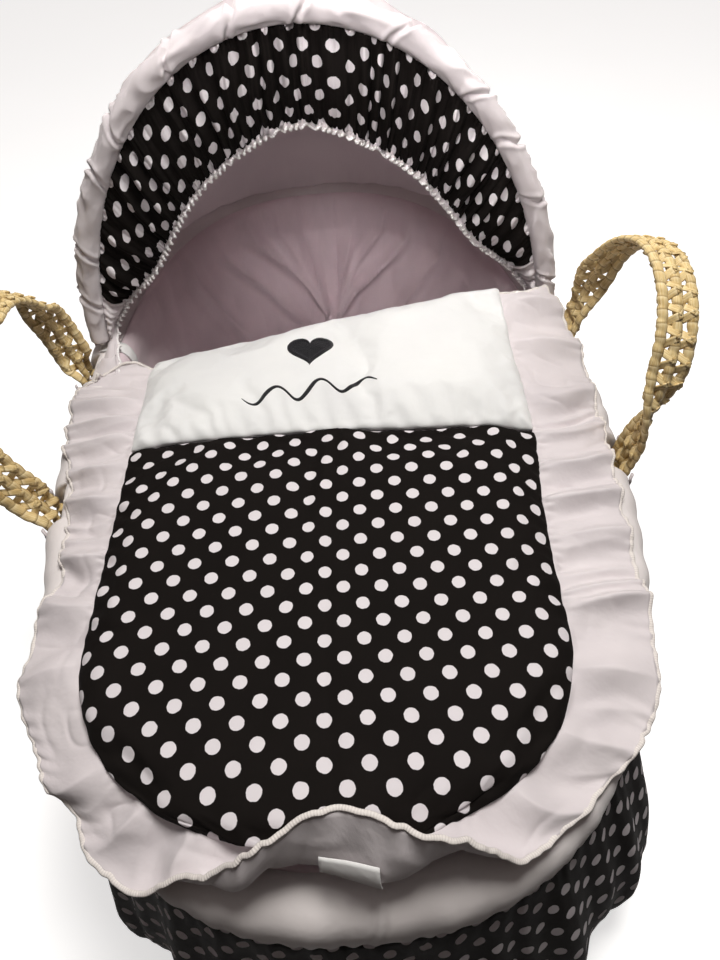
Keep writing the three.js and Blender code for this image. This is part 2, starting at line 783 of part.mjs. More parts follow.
add("hood_hoop", makeHoop(), WHITE);
add("hood_casing", makeCasing(), WHITE);
add("hood_band", makeStrip(WING_SHARE + 0.002, 1 - WING_SHARE - 0.002, 24), POLKA);
add("hood_wing_right", makeStrip(0, WING_SHARE, 4), WHITE);
add("hood_wing_left", makeStrip(1 - WING_SHARE, 1, 4), WHITE);
add("hood_edge", makeHoodEdge(), WHITE);
add("hood_cover", makeHoodCover(), WHITE);

add("coverlet_backing", makeCoverletBacking(), WHITE);
add("coverlet_panel_wadding", makeWadding(PANEL_ROWS, COVER.panelPad), WHITE);
add("coverlet_band_wadding", makeWadding(BAND_ROWS, COVER.bandPad), WHITE);
add("coverlet_panel", makeCloth(PANEL_ROWS, COVER.panelPad), POLKA);
add("coverlet_band", makeCloth(BAND_ROWS, COVER.bandPad), WHITE);
add("coverlet_frill", makeFrill(), WHITE);
add("embroidered_heart", makeHeart(), POLKA);
add("embroidered_flourish", makeFlourish(), POLKA);
add("care_label", makeLabel(), WHITE);

export default basket;
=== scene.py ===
"""The looks of the moses basket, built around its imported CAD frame.

Every length in this script is in millimetres until make_object turns it into metres. The frame is
the CAD model's: +Z up, +Y towards the head end, origin in the middle of the underside.
"""

import math

import bpy
import numpy as np
from mathutils import Matrix, Vector
from mathutils.bvhtree import BVHTree


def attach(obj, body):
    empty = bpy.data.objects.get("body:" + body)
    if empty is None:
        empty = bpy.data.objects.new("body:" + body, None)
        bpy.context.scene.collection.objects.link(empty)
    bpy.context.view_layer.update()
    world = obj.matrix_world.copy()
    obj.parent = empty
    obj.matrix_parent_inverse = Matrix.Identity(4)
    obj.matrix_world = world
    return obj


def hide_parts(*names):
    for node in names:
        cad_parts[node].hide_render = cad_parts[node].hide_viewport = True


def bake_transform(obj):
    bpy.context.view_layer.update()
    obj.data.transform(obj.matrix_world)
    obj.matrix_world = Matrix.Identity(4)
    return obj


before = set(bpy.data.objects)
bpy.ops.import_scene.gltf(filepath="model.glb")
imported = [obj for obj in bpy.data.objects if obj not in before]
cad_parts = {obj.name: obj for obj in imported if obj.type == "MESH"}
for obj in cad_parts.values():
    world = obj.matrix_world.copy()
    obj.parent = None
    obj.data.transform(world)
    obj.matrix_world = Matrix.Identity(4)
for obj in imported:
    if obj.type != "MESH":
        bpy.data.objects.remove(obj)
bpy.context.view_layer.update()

# ---------- driving dimensions, the same as the CAD model's ----------

MM = 0.001
OVAL_POWER = 2.4
TUB_FOOT = (168, 345)  # half width and half length of the tub at its foot
TUB_TOP = (229, 400)
TUB_HEIGHT = 226
TUB_LEVELS = 4
TUB_TAPER = 0.8
TUB_WALL = 9
TUB_FLOOR = 8
PLAIT = 13  # height of one row of plaited leaf
PLAIT_SHOWN = 64  # the skirt hides the plait above this height

ROLL_A, ROLL_B = 245, 416  # outside of the padded roll over the rim
ROLL_MIDDLE = 20  # inset of the roll's middle line
SLOT_INSET, SLOT_Z = 15.5, 246.6  # the roll is cut away outside this inset and below this height
SKIRT_TOP, SKIRT_HEM = 210.7, 42
SKIRT_SHRINK = 1.04  # the cloth is this much longer than its folds, which are too fine to model

FOOT_SEAM_X = 7  # the roll's sewn joint at the foot
HEM_FOLD = 11
TUB_GIRTH, FLOOR_GIRTH, LINER_GIRTH = 2090, 1650, 2050
WALL_COLS, FLOOR_COLS, ROLL_COLS = 760, 420, 1400
LINER_COLS, LINER_INSET, LINER_GAP = 1000, 21, 40.3
LINER_FLOOR, LINER_FLOOR_TOP = 8.5, 10.5
SKIRT_COLS, SKIRT_ROWS, SKIRT_FOLDS = 1500, 44, 27

MATTRESS_A, MATTRESS_B = 150, 326
MATTRESS_BOTTOM, MATTRESS_SEAM, MATTRESS_TOP = 11.5, 27, 45.4
PIPING_RADIUS = 1.9

HINGE_X, HINGE_Z = 240, 237
LEG_MIDDLE, LEG_SPREAD = 2, 88
LEG_HEIGHT, ARCH_RISE = 48, 97
LEAN = {"left": 9, "right": 14}
SKEW = {"left": 0.3, "right": 0.0}  # how much further out an arch's foot leg leans
HINGE_GAP, ARCH_GAP = 3.6, 0.8  # the strap's two parts stop this far below and above the hinge
ANCHOR_BEND = (200, 233.5)  # the fixed end bends outwards between these heights
SLOT_HALF = 21
ANCHOR_BOTTOM = 110
RIBS = (-13.0, 0.0, 13.0)  # where the strap's ribs lie across its width
RIB_HALF, RIB_DEEP = 4.5, 3.0
WRAP = 10.5  # one turn of leaf round a rib
LINK_PITCH, LINK_HALF, LINK_THICK = 18.0, 2.9, 1.1

HOOD_Y, HOOD_Z, HOOD_BASE = 114, 259, 240
HOOD_LEAN = math.radians(5)
HOOP_A, HOOP_B = 222, 291
CASING_WIDE, CASING_DEEP, CASING_FOOT = 11, 8, 5
CASING_GIRTH, CASING_NOTCHES = 62, 12
ELASTIC_DEPTH = 12  # the elastic edge lies this far behind the hoop's plane
HOOD_SIDE = [(206, 36), (184, 62), (155, 86), (130, 120), (98, 157), (58, 186)]
HOOD_TOP = (0, 207)
WING_SHARE = 0.05
HOOD_SHIFT = -5  # how far the hoop's top leans over, towards +X
GATHER_SHRINK = 0.84  # length of the band's cloth coordinates for each unit of its folded length
TAIL_SHARE, TAIL_LENGTH = 0.05, 45  # the gathered cloth runs on past the hood's feet
TAIL_X, TAIL_Z = (231, 204), 251.5
COVER_INSET, COVER_FOOT = 9, 246  # where the white cover meets the roll at the head
TIE_HALF, TIE_THICK = 7, 1.4
EDGE_PERIOD = 6.6  # one wave of the elastic's frilled edge
EDGE_ROWS = ((-1.2, 0.3), (0.6, 1.0), (2.3, 2.0), (3.8, 2.7))  # reach past the elastic and swing

COVER_X, COVER_Y = -9, -150
COVER_TURN = math.radians(-3)
COVER_HALF = 166
FOOT_V, FOOT_LENGTH, FOOT_POWER = -92, 136, 2.1
FOOT_SWEEP = math.radians(78)  # the rounded foot's rows are spaced by this much of a quarter turn
SEAM_V, TOP_V = 90, 238
COVER_Z, COVER_CROWN, HEAD_TILT, HEAD_LIFT = 268, 5, 28, 3
HEAD_SLANT = 8
COVER_BOTTOM = -4.7
PANEL_RISE, BAND_RISE = 8, 14
PANEL_FOOT_ROWS, PANEL_BODY_ROWS = 26, 47
SEAM_LIFT = 6.5  # the seam between the two pads is less pinched than their outline

HEART_U, HEART_V, HEART = -14, 180, 21
FLOURISH_V, FLOURISH_HALF = 130, 58
LABEL_PLACE, LABEL_WIDE = 1.523, 31
LABEL_ROWS = (0.48, 0.76)  # the label's ends, as shares of the frill's width
FRILL_COLS, FRILL_ROWS = 1500, 30
FRILL_TUCK = 2.4  # the frill starts this far inside the pads' edge

DOT_PITCH, DOT_RADIUS = 26, 4.6
CLOTH = 1.1  # thickness of the thin cloths
SIM_FRAMES, SIM_CAP = 20, 7  # steps of each cloth simulation, and how far it may move a point

CAMERA_AT = (13.6, -493.2, 720.2)
CAMERA_YAW, CAMERA_PITCH, CAMERA_ROLL = 0.81, 49.34, -4.81
LENS = 27.93
KEY_AT, KEY_POWER = (170, -50, 1500), 15.5
FILL_AT, FILL_TARGET, FILL_POWER = (0, -420, 980), (80, 360, 310), 0.27
FLOOR_GLOW = 0.6  # the floor's own light, which keeps it pale
FLOOR_HALF = 6000
SKY_MIDDLE = (0.0, 0.42, 0.91)  # the sky is brightest in this direction

SIDES = {"left": -1, "right": 1}
ENDS = {"foot": -1, "head": 1}


# ---------- numbers ----------


def lerp(a, b, t):
    return a + (b - a) * t


def smoothstep(x, low, high):
    t = np.clip((x - low) / (high - low), 0, 1)
    return t * t * (3 - 2 * t)


def bump(x, middle, width):
    return np.exp(-(((x - middle) / width) ** 2))


def hump(t):
    """Half a wave: 0 where t is 0 or 1, and 1 half way."""
    return np.sin(np.pi * t)


def dome(off, width):
    """Rises in a quarter circle, from 0 at an edge to 1 at width from it."""
    return np.sqrt(1 - (1 - np.clip(off / width, 0, 1)) ** 2)


def noise(x, y, seed):
    """Smooth noise from -1 to 1, with about one bump per unit."""
    x, y = np.broadcast_arrays(np.asarray(x, float), np.asarray(y, float))
    i, j = np.floor(x), np.floor(y)
    fx, fy = x - i, y - j
    fx, fy = fx * fx * (3 - 2 * fx), fy * fy * (3 - 2 * fy)

    def corner(di, dj):
        mixed = np.sin((i + di) * 127.1 + (j + dj) * 311.7 + seed * 74.7) * 43758.5453
        return 2 * (mixed - np.floor(mixed)) - 1

    low = lerp(corner(0, 0), corner(1, 0), fx)
    high = lerp(corner(0, 1), corner(1, 1), fx)
    return lerp(low, high, fy)


def ring_noise(share, reach, seed, dx=0, dy=0):
    """Noise round a ring, which meets itself where share goes from 1 to 0."""
    turn = 2 * np.pi * share
    return noise(reach * np.cos(turn) + dx, reach * np.sin(turn) + dy, seed)


def waves(share, count, seed, ring=False, wander=0.45):
    """A wandering row of count waves from -1 to 1, over shares from 0 to 1."""
    if ring:
        drift = ring_noise(share, 0.6 * count / (2 * np.pi), seed)
    else:
        drift = noise(0.6 * count * share, 0, seed)
    return np.cos(2 * np.pi * (count * share + wander * drift))


def creases(share, count, seed, wander=0.8):
    """A wandering row of folds with round crests and sharp valleys, from -1 to 1."""
    return 2 * ((1 + waves(share, count, seed, wander=wander)) / 2) ** 0.6 - 1


def smooth_curve(stations, at):
    """A smooth curve through rows of [position, values...], read at the positions in at."""
    table = np.asarray(stations, float)
    x, values = table[:, 0], table[:, 1:]
    slopes = np.gradient(values, x, axis=0)
    k = np.clip(np.searchsorted(x, at) - 1, 0, len(x) - 2)
    step = (x[k + 1] - x[k])[..., None]
    t = ((at - x[k]) / (x[k + 1] - x[k]))[..., None]
    return (
        (2 * t**3 - 3 * t**2 + 1) * values[k]
        + (t**3 - 2 * t**2 + t) * step * slopes[k]
        + (3 * t**2 - 2 * t**3) * values[k + 1]
        + (t**3 - t**2) * step * slopes[k + 1]
    )


def arc_lengths(points):
    """Distance along a line of points, from 0 at its start."""
    steps = np.linalg.norm(np.diff(points, axis=0), axis=1)
    return np.concatenate([[0], np.cumsum(steps)])


def read_along(values, length, at):
    """Values of a line of points, read at distances along it."""
    return np.stack([np.interp(at, length, column) for column in values.T], axis=1)


def ring_shares(count):
    return np.linspace(0, 1, count + 1)[None, :-1]


def unit(vectors):
    return vectors / np.maximum(np.linalg.norm(vectors, axis=-1, keepdims=True), 1e-9)


def stack(*parts):
    """Points or cloth places from their separate coordinates."""
    return np.stack(np.broadcast_arrays(*parts), axis=-1).astype(float)


def run_of(line, up):
    """Unit vectors along a line of points, and across it at right angles to up."""
    along = unit(np.gradient(line, axis=0))
    return along, unit(np.cross(along, np.array(up, float)))


# ---------- meshes ----------


class Shape:
    """Points, faces and cloth coordinates gathered for one mesh."""

    def __init__(self):
        self.points, self.faces, self.uvs = [], [], []
        self.count = 0

    def grid(self, points, uv, wrap_rows=False, wrap_cols=False, flip=False):
        """Adds a grid of points. uv has one more row or column than points where it wraps."""
        rows, cols = points.shape[:2]
        index = self.count + np.arange(rows * cols).reshape(rows, cols)
        self.points.append(points.reshape(-1, 3))
        self.count += rows * cols
        full = index
        if wrap_cols:
            full = np.concatenate([full, full[:, :1]], axis=1)
        if wrap_rows:
            full = np.concatenate([full, full[:1]], axis=0)
        self.quads(full[:-1, :-1], full[:-1, 1:], full[1:, 1:], full[1:, :-1], uv_corners(uv), flip)
        return full

    def quads(self, a, b, c, d, uv, flip=False):
        quads = np.stack([a, b, c, d], axis=-1).reshape(-1, 4)
        uv = np.asarray(uv, float).reshape(-1, 4, 2)
        if flip:
            quads, uv = quads[:, ::-1], uv[:, ::-1]
        self.faces.extend(quads.tolist())
        self.uvs.append(uv.reshape(-1, 2))

    def cap(self, loop, uv=(0, 0), flip=False):
        """Closes a loop of points with one flat face."""
        loop = [int(i) for i in loop]
        self.faces.append(loop[::-1] if flip else loop)
        self.uvs.append(np.tile(np.asarray(uv, float), (len(loop), 1)))

    def sheet(self, points, uv, thick, wrap_cols=False):
        """Adds a sheet with thickness, from the grid of its middle surface."""
        half = grid_normals(points, wrap_cols) * np.asarray(thick, float)[..., None] / 2
        self.shell(points + half, points - half, uv, wrap_cols)

    def shell(self, outer, inner, uv, wrap_cols=False):
        """Adds two facing grids, joined along their free edges."""
        front = self.grid(outer, uv, wrap_cols=wrap_cols)
        back = self.grid(inner, uv, wrap_cols=wrap_cols, flip=True)
        self.hem(front[0, ::-1], back[0, ::-1], uv[0, ::-1])
        self.hem(front[-1], back[-1], uv[-1])
        if not wrap_cols:
            self.hem(front[:, 0], back[:, 0], uv[:, 0])
            self.hem(front[::-1, -1], back[::-1, -1], uv[::-1, -1])

    def capped(self, loops, uv, start=(0, 0), end=(0, 0)):
        """Adds a row of closed loops, with a face over each end at its own cloth place."""
        full = self.grid(loops, uv, wrap_cols=True)
        self.cap(full[0, :-1], start, flip=True)
        self.cap(full[-1, :-1], end)

    def hem(self, front, back, uv):
        corners = np.stack([uv[:-1], uv[1:], uv[1:], uv[:-1]], axis=-2)
        self.quads(front[:-1], front[1:], back[1:], back[:-1], corners)

    def tube(self, centres, wide, deep, sides, ripple=None, uv_offset=0):
        """Adds a closed tube. ripple, if given, scales its section: [row, side]."""
        turn = 2 * np.pi * np.arange(sides) / sides
        swell = np.ones((len(centres), sides)) if ripple is None else ripple
        loops = (
            centres[:, None]
            + wide[:, None] * (np.cos(turn) * swell)[..., None]
            + deep[:, None] * (np.sin(turn) * swell)[..., None]
        )
        along = arc_lengths(centres) + uv_offset
        girth = 2 * np.pi * np.linalg.norm(wide + deep, axis=1).mean() / math.sqrt(2)
        around = np.linspace(0, girth, sides + 1)
        uv = stack(along[:, None], around[None])
        self.capped(loops, uv, uv[0, 0], uv[-1, 0])

    def build(self, name, material):
        points, uvs = np.concatenate(self.points), np.concatenate(self.uvs)
        return make_object(name, points, self.faces, uvs, material)


def make_sheet(name, points, thick, material, uv=None):
    """A piece of cloth with thickness, from the grid of its middle surface."""
    shape = Shape()
    shape.sheet(points, metric_uv(points) if uv is None else uv, thick)
    return shape.build(name, material)


def uv_corners(uv):
    return np.stack([uv[:-1, :-1], uv[:-1, 1:], uv[1:, 1:], uv[1:, :-1]], axis=-2)


def grid_normals(points, wrap_cols=False, wrap_rows=False):
    def slope(axis, wrap):
        if wrap:
            return np.roll(points, -1, axis) - np.roll(points, 1, axis)
        return np.gradient(points, axis=axis)

    return unit(np.cross(slope(1, wrap_cols), slope(0, wrap_rows)))


def signed_volume(points, faces):
    """Six times the volume inside some faces, negative if they point inwards."""
    fans = [(f[0], f[k], f[k + 1]) for f in faces for k in range(1, len(f) - 1)]
    a, b, c = (points[[fan[i] for fan in fans]] for i in range(3))
    return float((a * np.cross(b, c)).sum())


def make_object(name, points, faces, uvs, material):
    """A smooth mesh object from points in millimetres, with its faces pointing outwards."""
    if signed_volume(points, faces) < 0:
        ends = np.cumsum([len(f) for f in faces])
        uvs = np.concatenate([part[::-1] for part in np.split(uvs, ends[:-1])])
        faces = [f[::-1] for f in faces]
    mesh = bpy.data.meshes.new(name)
    mesh.from_pydata((points * MM).tolist(), [], faces)
    mesh.uv_layers.new(name="cloth").data.foreach_set("uv", uvs.astype(np.float32).ravel())
    mesh.polygons.foreach_set("use_smooth", np.ones(len(faces), bool))
    mesh.materials.append(material)
    mesh.update()
    obj = bpy.data.objects.new(name, mesh)
    bpy.context.scene.collection.objects.link(obj)
    return obj


def metric_uv(points, u_scale=1.0, wrap_cols=False):
    """Cloth coordinates of a grid, measured along its middle row and down each column."""
    if wrap_cols:
        points = np.concatenate([points, points[:, :1]], axis=1)
    across = arc_lengths(points[len(points) // 2]) * u_scale
    steps = np.linalg.norm(np.diff(points, axis=0), axis=2)
    down = np.concatenate([np.zeros((1, points.shape[1])), np.cumsum(steps, axis=0)])
    return stack(across[None], down)


def wear(obj, body, slot, *nodes):
    """A piece rides on its body and stands for its CAD nodes. Its slot is not used."""
    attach(obj, body)
    if nodes:
        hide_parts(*nodes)
    return obj


# ---------- materials ----------


class Nodes:
    """Short calls for building the node tree of a material or of the sky."""

    def __init__(self, owner):
        owner.use_nodes = True
        self.owner = owner
        self.tree = owner.node_tree
        self.shader = next(n for n in self.tree.nodes if n.type in ("BSDF_PRINCIPLED", "BACKGROUND"))

    def put(self, node, inputs):
        """Sets a node's sockets, and links those whose value is another node's output."""
        for key, value in inputs.items():
            if isinstance(value, bpy.types.NodeSocket):
                self.tree.links.new(value, node.inputs[key])
            else:
                node.inputs[key].default_value = value

    def add(self, kind, inputs=None, **settings):
        node = self.tree.nodes.new("ShaderNode" + kind)
        for key, value in settings.items():
            setattr(node, key, value)
        self.put(node, inputs or {})
        return node

    def math(self, operation, a, b=0.0, c=0.0):
        return self.add("Math", {0: a, 1: b, 2: c}, operation=operation).outputs[0]

    def cloth_uv(self):
        return self.add("UVMap", uv_map="cloth").outputs[0]

    def noise(self, coordinates, scale, detail=2.0):
        inputs = {"Vector": coordinates, "Scale": scale, "Detail": detail}
        return self.add("TexNoise", inputs).outputs["Fac"]

    def stretched(self, coordinates, along, across):
        return self.add("Mapping", {"Vector": coordinates, "Scale": (along, across, 1)}).outputs[0]

    def blend(self, factor, first, second):
        return self.add("Mix", {0: factor, 6: first, 7: second}, data_type="RGBA").outputs[2]

    def spread(self, value, low, high, to_low=0.0, to_high=1.0):
        inputs = {"Value": value, "From Min": low, "From Max": high, "To Min": to_low, "To Max": to_high}
        return self.add("MapRange", inputs).outputs[0]

    def wave(self, coordinates, period, direction):
        """Fine parallel threads, a period apart in millimetres."""
        inputs = {"Vector": coordinates, "Scale": 2 * math.pi / (20 * period), "Distortion": 0.4}
        node = self.add("TexWave", inputs, wave_type="BANDS", bands_direction=direction)
        return node.outputs["Fac"]

    def relief(self, height, distance, strength, below=None):
        inputs = {"Height": height, "Distance": distance, "Strength": strength}
        if below is not None:
            inputs["Normal"] = below
        return self.add("Bump", inputs).outputs[0]

    def finish(self, color, roughness, normal=None, sheen=0.0, specular=0.25):
        self.put(self.shader, {"Base Color": color, "Roughness": roughness, "Sheen Weight": sheen})
        self.put(self.shader, {"Sheen Roughness": 0.5, "Specular IOR Level": specular})
        if normal is not None:
            self.put(self.shader, {"Normal": normal})
        return self.owner


def material_nodes(name):
    return Nodes(bpy.data.materials.new(name))


def weave_relief(nodes, uv, thread=0.55):
    """A plain weave over small soft crumples."""
    crumple = nodes.noise(uv, 0.045, 3.0)
    soft = nodes.relief(crumple, 0.0035, 0.35)
    warp, weft = nodes.wave(uv, thread, "X"), nodes.wave(uv, thread, "Y")
    return nodes.relief(nodes.math("MULTIPLY", warp, weft), 0.00012, 0.35, below=soft)


def white_cloth(name, light, shade, sheen=0.25):
    """Plain polycotton: near white, a little darker and warmer where it is crumpled."""
    nodes = material_nodes(name)
    uv = nodes.cloth_uv()
    mottle = nodes.spread(nodes.noise(uv, 0.012, 4.0), 0.35, 0.7)
    color = nodes.blend(mottle, light, shade)
    return nodes.finish(color, 0.82, weave_relief(nodes, uv), sheen)


def canopy_cloth():
    """The same white cloth where daylight shines through it."""
    material = white_cloth("canopy_cloth", (0.78, 0.72, 0.73, 1), (0.68, 0.62, 0.64, 1))
    nodes = Nodes(material)
    glow = nodes.add("BsdfTranslucent", {"Color": (0.95, 0.86, 0.88, 1)}).outputs[0]
    mixed = nodes.add("MixShader", {0: 0.3, 1: nodes.shader.outputs[0], 2: glow}).outputs[0]
    output = next(n for n in nodes.tree.nodes if n.type == "OUTPUT_MATERIAL")
    nodes.put(output, {"Surface": mixed})
    return material


def dot_distance(nodes, uv, shift):
    """Distance to the nearest dot of one square lattice, in millimetres."""
    parts = nodes.add("SeparateXYZ", {0: uv})
    squares = []
    for axis in (0, 1):
        moved = nodes.math("ADD", parts.outputs[axis], shift)
        cell = nodes.math("WRAP", moved, DOT_PITCH / 2, -DOT_PITCH / 2)
        squares.append(nodes.math("MULTIPLY", cell, cell))
    return nodes.math("SQRT", nodes.math("ADD", *squares))


def polka_cloth():
    """Black polycotton printed with staggered white dots."""
    nodes = material_nodes("polka_cloth")
    uv = nodes.cloth_uv()
    near = nodes.math("MINIMUM", dot_distance(nodes, uv, 0.0), dot_distance(nodes, uv, DOT_PITCH / 2))
    wobble = nodes.spread(nodes.noise(uv, 0.35, 2.0), 0.3, 0.7, -0.18, 0.18)
    inside = nodes.spread(nodes.math("ADD", near, wobble), DOT_RADIUS + 0.12, DOT_RADIUS - 0.12)
    mottle = nodes.noise(uv, 0.02, 3.0)
    black = nodes.blend(mottle, (0.0062, 0.0050, 0.0045, 1), (0.0105, 0.0084, 0.0075, 1))
    white = nodes.blend(mottle, (0.72, 0.68, 0.70, 1), (0.62, 0.58, 0.60, 1))
    color = nodes.blend(inside, black, white)
    return nodes.finish(color, 0.85, weave_relief(nodes, uv), 0.0, 0.06)


def straw():
    """Dried palm leaf: tan and gold streaks along each strand, with painted shade in the crease between
    one turn of leaf and the next, and a painted highlight on the raised edge of each turn.
    """
    nodes = material_nodes("straw")
    uv = nodes.cloth_uv()
    streaks = nodes.noise(nodes.stretched(uv, 0.05, 1.1), 1.0, 5.0)
    patches = nodes.noise(nodes.stretched(uv, 0.07, 0.12), 1.0, 3.0)
    tan = nodes.blend(nodes.spread(patches, 0.3, 0.7), (0.50, 0.33, 0.12, 1), (0.79, 0.60, 0.29, 1))
    color = nodes.blend(nodes.spread(streaks, 0.42, 0.72), tan, (0.86, 0.71, 0.41, 1))
    flecks = nodes.spread(nodes.noise(nodes.stretched(uv, 0.5, 0.9), 1.0, 4.0), 0.66, 0.76)
    color = nodes.blend(flecks, color, (0.24, 0.14, 0.05, 1))
    inputs = {"Vector": uv, "Scale": 2 * math.pi / (20 * WRAP), "Distortion": 2.2, "Detail": 1.0}
    bands = nodes.add("TexWave", inputs, wave_type="BANDS", bands_direction="X", wave_profile="SAW")
    turns = bands.outputs["Fac"]
    # painted shade: the straw is darkened in the crease where one turn of leaf laps the next
    color = nodes.blend(nodes.spread(turns, 0.0, 0.2, 0.75, 0.0), color, (0.20, 0.115, 0.035, 1))
    # painted highlight: the straw is lightened along the raised edge of each turn
    color = nodes.blend(nodes.spread(turns, 0.72, 1.0, 0.0, 0.45), color, (0.93, 0.80, 0.52, 1))
    veins = nodes.relief(streaks, 0.0006, 0.6, below=nodes.relief(turns, 0.0014, 0.7))
    return nodes.finish(color, nodes.spread(streaks, 0.3, 0.7, 0.72, 0.48), veins, 0.0)


def thread():
    """Black satin-stitch thread, in fine parallel ridges."""
    nodes = material_nodes("black_thread")
    uv = nodes.cloth_uv()
    ridges = nodes.wave(uv, 0.7, "DIAGONAL")
    color = nodes.blend(ridges, (0.004, 0.004, 0.005, 1), (0.02, 0.02, 0.024, 1))
    return nodes.finish(color, 0.42, nodes.relief(ridges, 0.0004, 0.8), 0.1)


def overlock(low, high):
    """Overlocking thread, ribbed across the edge that it binds."""
    nodes = material_nodes("overlock_thread")
    uv = nodes.cloth_uv()
    ridges = nodes.wave(uv, 1.7, "X")
    color = nodes.blend(ridges, low, high)
    return nodes.finish(color, 0.8, nodes.relief(ridges, 0.0005, 0.35), 0.1)


def hoop_plastic():
    """White extruded plastic with a faint draw grain."""
    nodes = material_nodes("hoop_plastic")
    place = nodes.add("TexCoord").outputs["Object"]
    grain = nodes.noise(place, 900.0, 2.0)
    color = nodes.blend(grain, (0.78, 0.78, 0.77, 1), (0.86, 0.86, 0.85, 1))
    return nodes.finish(color, 0.4, nodes.relief(grain, 0.0002, 0.3), 0.0)


MATERIAL = {
    "white": white_cloth("white_cloth", (0.70, 0.645, 0.655, 1), (0.60, 0.55, 0.565, 1)),
    "canopy": canopy_cloth(),
    "liner": white_cloth("liner_cloth", (0.80, 0.665, 0.70, 1), (0.70, 0.575, 0.61, 1)),
    "roll": white_cloth("roll_cloth", (0.76, 0.71, 0.70, 1), (0.67, 0.62, 0.61, 1)),
    "band": white_cloth("band_cloth", (0.765, 0.765, 0.755, 1), (0.71, 0.71, 0.71, 1)),
    "label": white_cloth("label_tape", (0.87, 0.86, 0.85, 1), (0.78, 0.77, 0.76, 1), 0.1),
    "polka": polka_cloth(),
    "straw": straw(),
    "thread": thread(),
    "overlock": overlock((0.66, 0.61, 0.58, 1), (0.76, 0.71, 0.67, 1)),
    "edging": overlock((0.80, 0.77, 0.76, 1), (0.97, 0.95, 0.94, 1)),
    "hoop": hoop_plastic(),
}


# ---------- oval rings ----------


def even_turns(count):
    """Oval angles that are evenly spaced along the roll's outside."""
    dense = np.linspace(0, 2 * np.pi, 20 * count + 1)
    x, y = oval(ROLL_A, ROLL_B, dense)
    along = arc_lengths(stack(x, y, 0))
    return np.interp(np.arange(count) * along[-1] / count, along, dense)


def oval(a, b, turn):
    power = 2 / OVAL_POWER
    c, s = np.cos(turn), np.sin(turn)
    return a * np.sign(c) * np.abs(c) ** power, b * np.sign(s) * np.abs(s) ** power


def oval_x(a, b, y):
    return a * (1 - np.abs(y / b) ** OVAL_POWER) ** (1 / OVAL_POWER)


def ring(inset, z, turn):
    """Points of a ring that lies inset inside the roll's outside."""
    x, y = oval(ROLL_A - inset, ROLL_B - inset, turn)
    return stack(x, y, z)


def tub_size(z):
    """Half width and half length of the outside of the tub's wall at height z."""
    level = np.minimum(np.floor(z / TUB_HEIGHT * TUB_LEVELS), TUB_LEVELS - 1)
    low = (level / TUB_LEVELS) ** TUB_TAPER
    high = ((level + 1) / TUB_LEVELS) ** TUB_TAPER
    share = lerp(low, high, z / TUB_HEIGHT * TUB_LEVELS - level)
    return [lerp(foot, top, share) for foot, top in zip(TUB_FOOT, TUB_TOP)]


def tub_ring(inset, z, turn):
    a, b = tub_size(z)
    x, y = oval(a - inset, b - inset, turn)
    return stack(x, y, z)


# ---------- the woven basket ----------


def plait(along, up):
    """Relief of rows of plaited leaf, from 0 in the grooves to 1."""
    row = up / PLAIT
    across = 2 * (row - np.floor(row)) - 1
    lean = np.abs(across) * 0.9 + 0.5 * np.floor(row)
    strand = np.abs(np.sin(np.pi * (along / 9 + lean)))
    return np.sqrt(np.maximum(1 - across**2, 0)) * (0.45 + 0.55 * strand**0.6)


def make_basket_wall():
    turn = even_turns(WALL_COLS)[None]
    near = np.linspace(0.3, PLAIT_SHOWN, 40)
    far = np.linspace(PLAIT_SHOWN, TUB_HEIGHT, 12)[1:]
    z = np.concatenate([near, far])[:, None]
    along = np.linspace(0, TUB_GIRTH, WALL_COLS + 1)[None]
    relief = 2.6 * (1 - plait(along[:, :-1], z)) * smoothstep(z, PLAIT_SHOWN, PLAIT_SHOWN - 8)
    outer, inner = tub_ring(relief, z, turn), tub_ring(TUB_WALL, z, turn)
    uv = stack(along, z)
    shape = Shape()
    shape.shell(outer, inner, uv, True)
    wear(shape.build("woven_wall", MATERIAL["straw"]), "basket", "straw", "basket_wall")


def make_basket_floor():
    """The floor is one long plait, coiled outwards from the middle line."""
    inset = TUB_WALL + 0.3
    edge_a, edge_b = TUB_FOOT[0] - inset, TUB_FOOT[1] - inset
    turn = even_turns(FLOOR_COLS)[None]
    under = np.linspace(0.03, 1, 78)[:, None]
    over = np.linspace(1, 0.03, 8)[:, None]
    share = np.concatenate([under, over])
    x, y = oval(edge_a * share, lerp(edge_b - edge_a, edge_b, share), turn)
    along = np.linspace(0, FLOOR_GIRTH, FLOOR_COLS + 1)[None]
    dent = 1.8 * (1 - plait(along[:, :-1], (1 - under) * edge_a))
    z = np.concatenate([dent, np.full((8, 420), float(TUB_FLOOR))])
    uv = stack(along, share * edge_a)
    shape = Shape()
    shape.capped(stack(x, y, z), uv)
    wear(shape.build("woven_floor", MATERIAL["straw"]), "basket", "straw", "basket_floor")


# ---------- the strap handles ----------


def strap_turn(word, height, y):
    """How far, in degrees, the strap's width is turned from pointing straight out of the arch."""
    if word == "right":
        return 90 * (1 - smoothstep(height, 24, 100))
    upright = 1 - smoothstep(height, 8, 30)
    foot_side = 45 + 45 * upright
    head_side = 49 * smoothstep(height, 78, 105) - 24 - 66 * upright
    return lerp(foot_side, head_side, smoothstep(y, -60, 20))


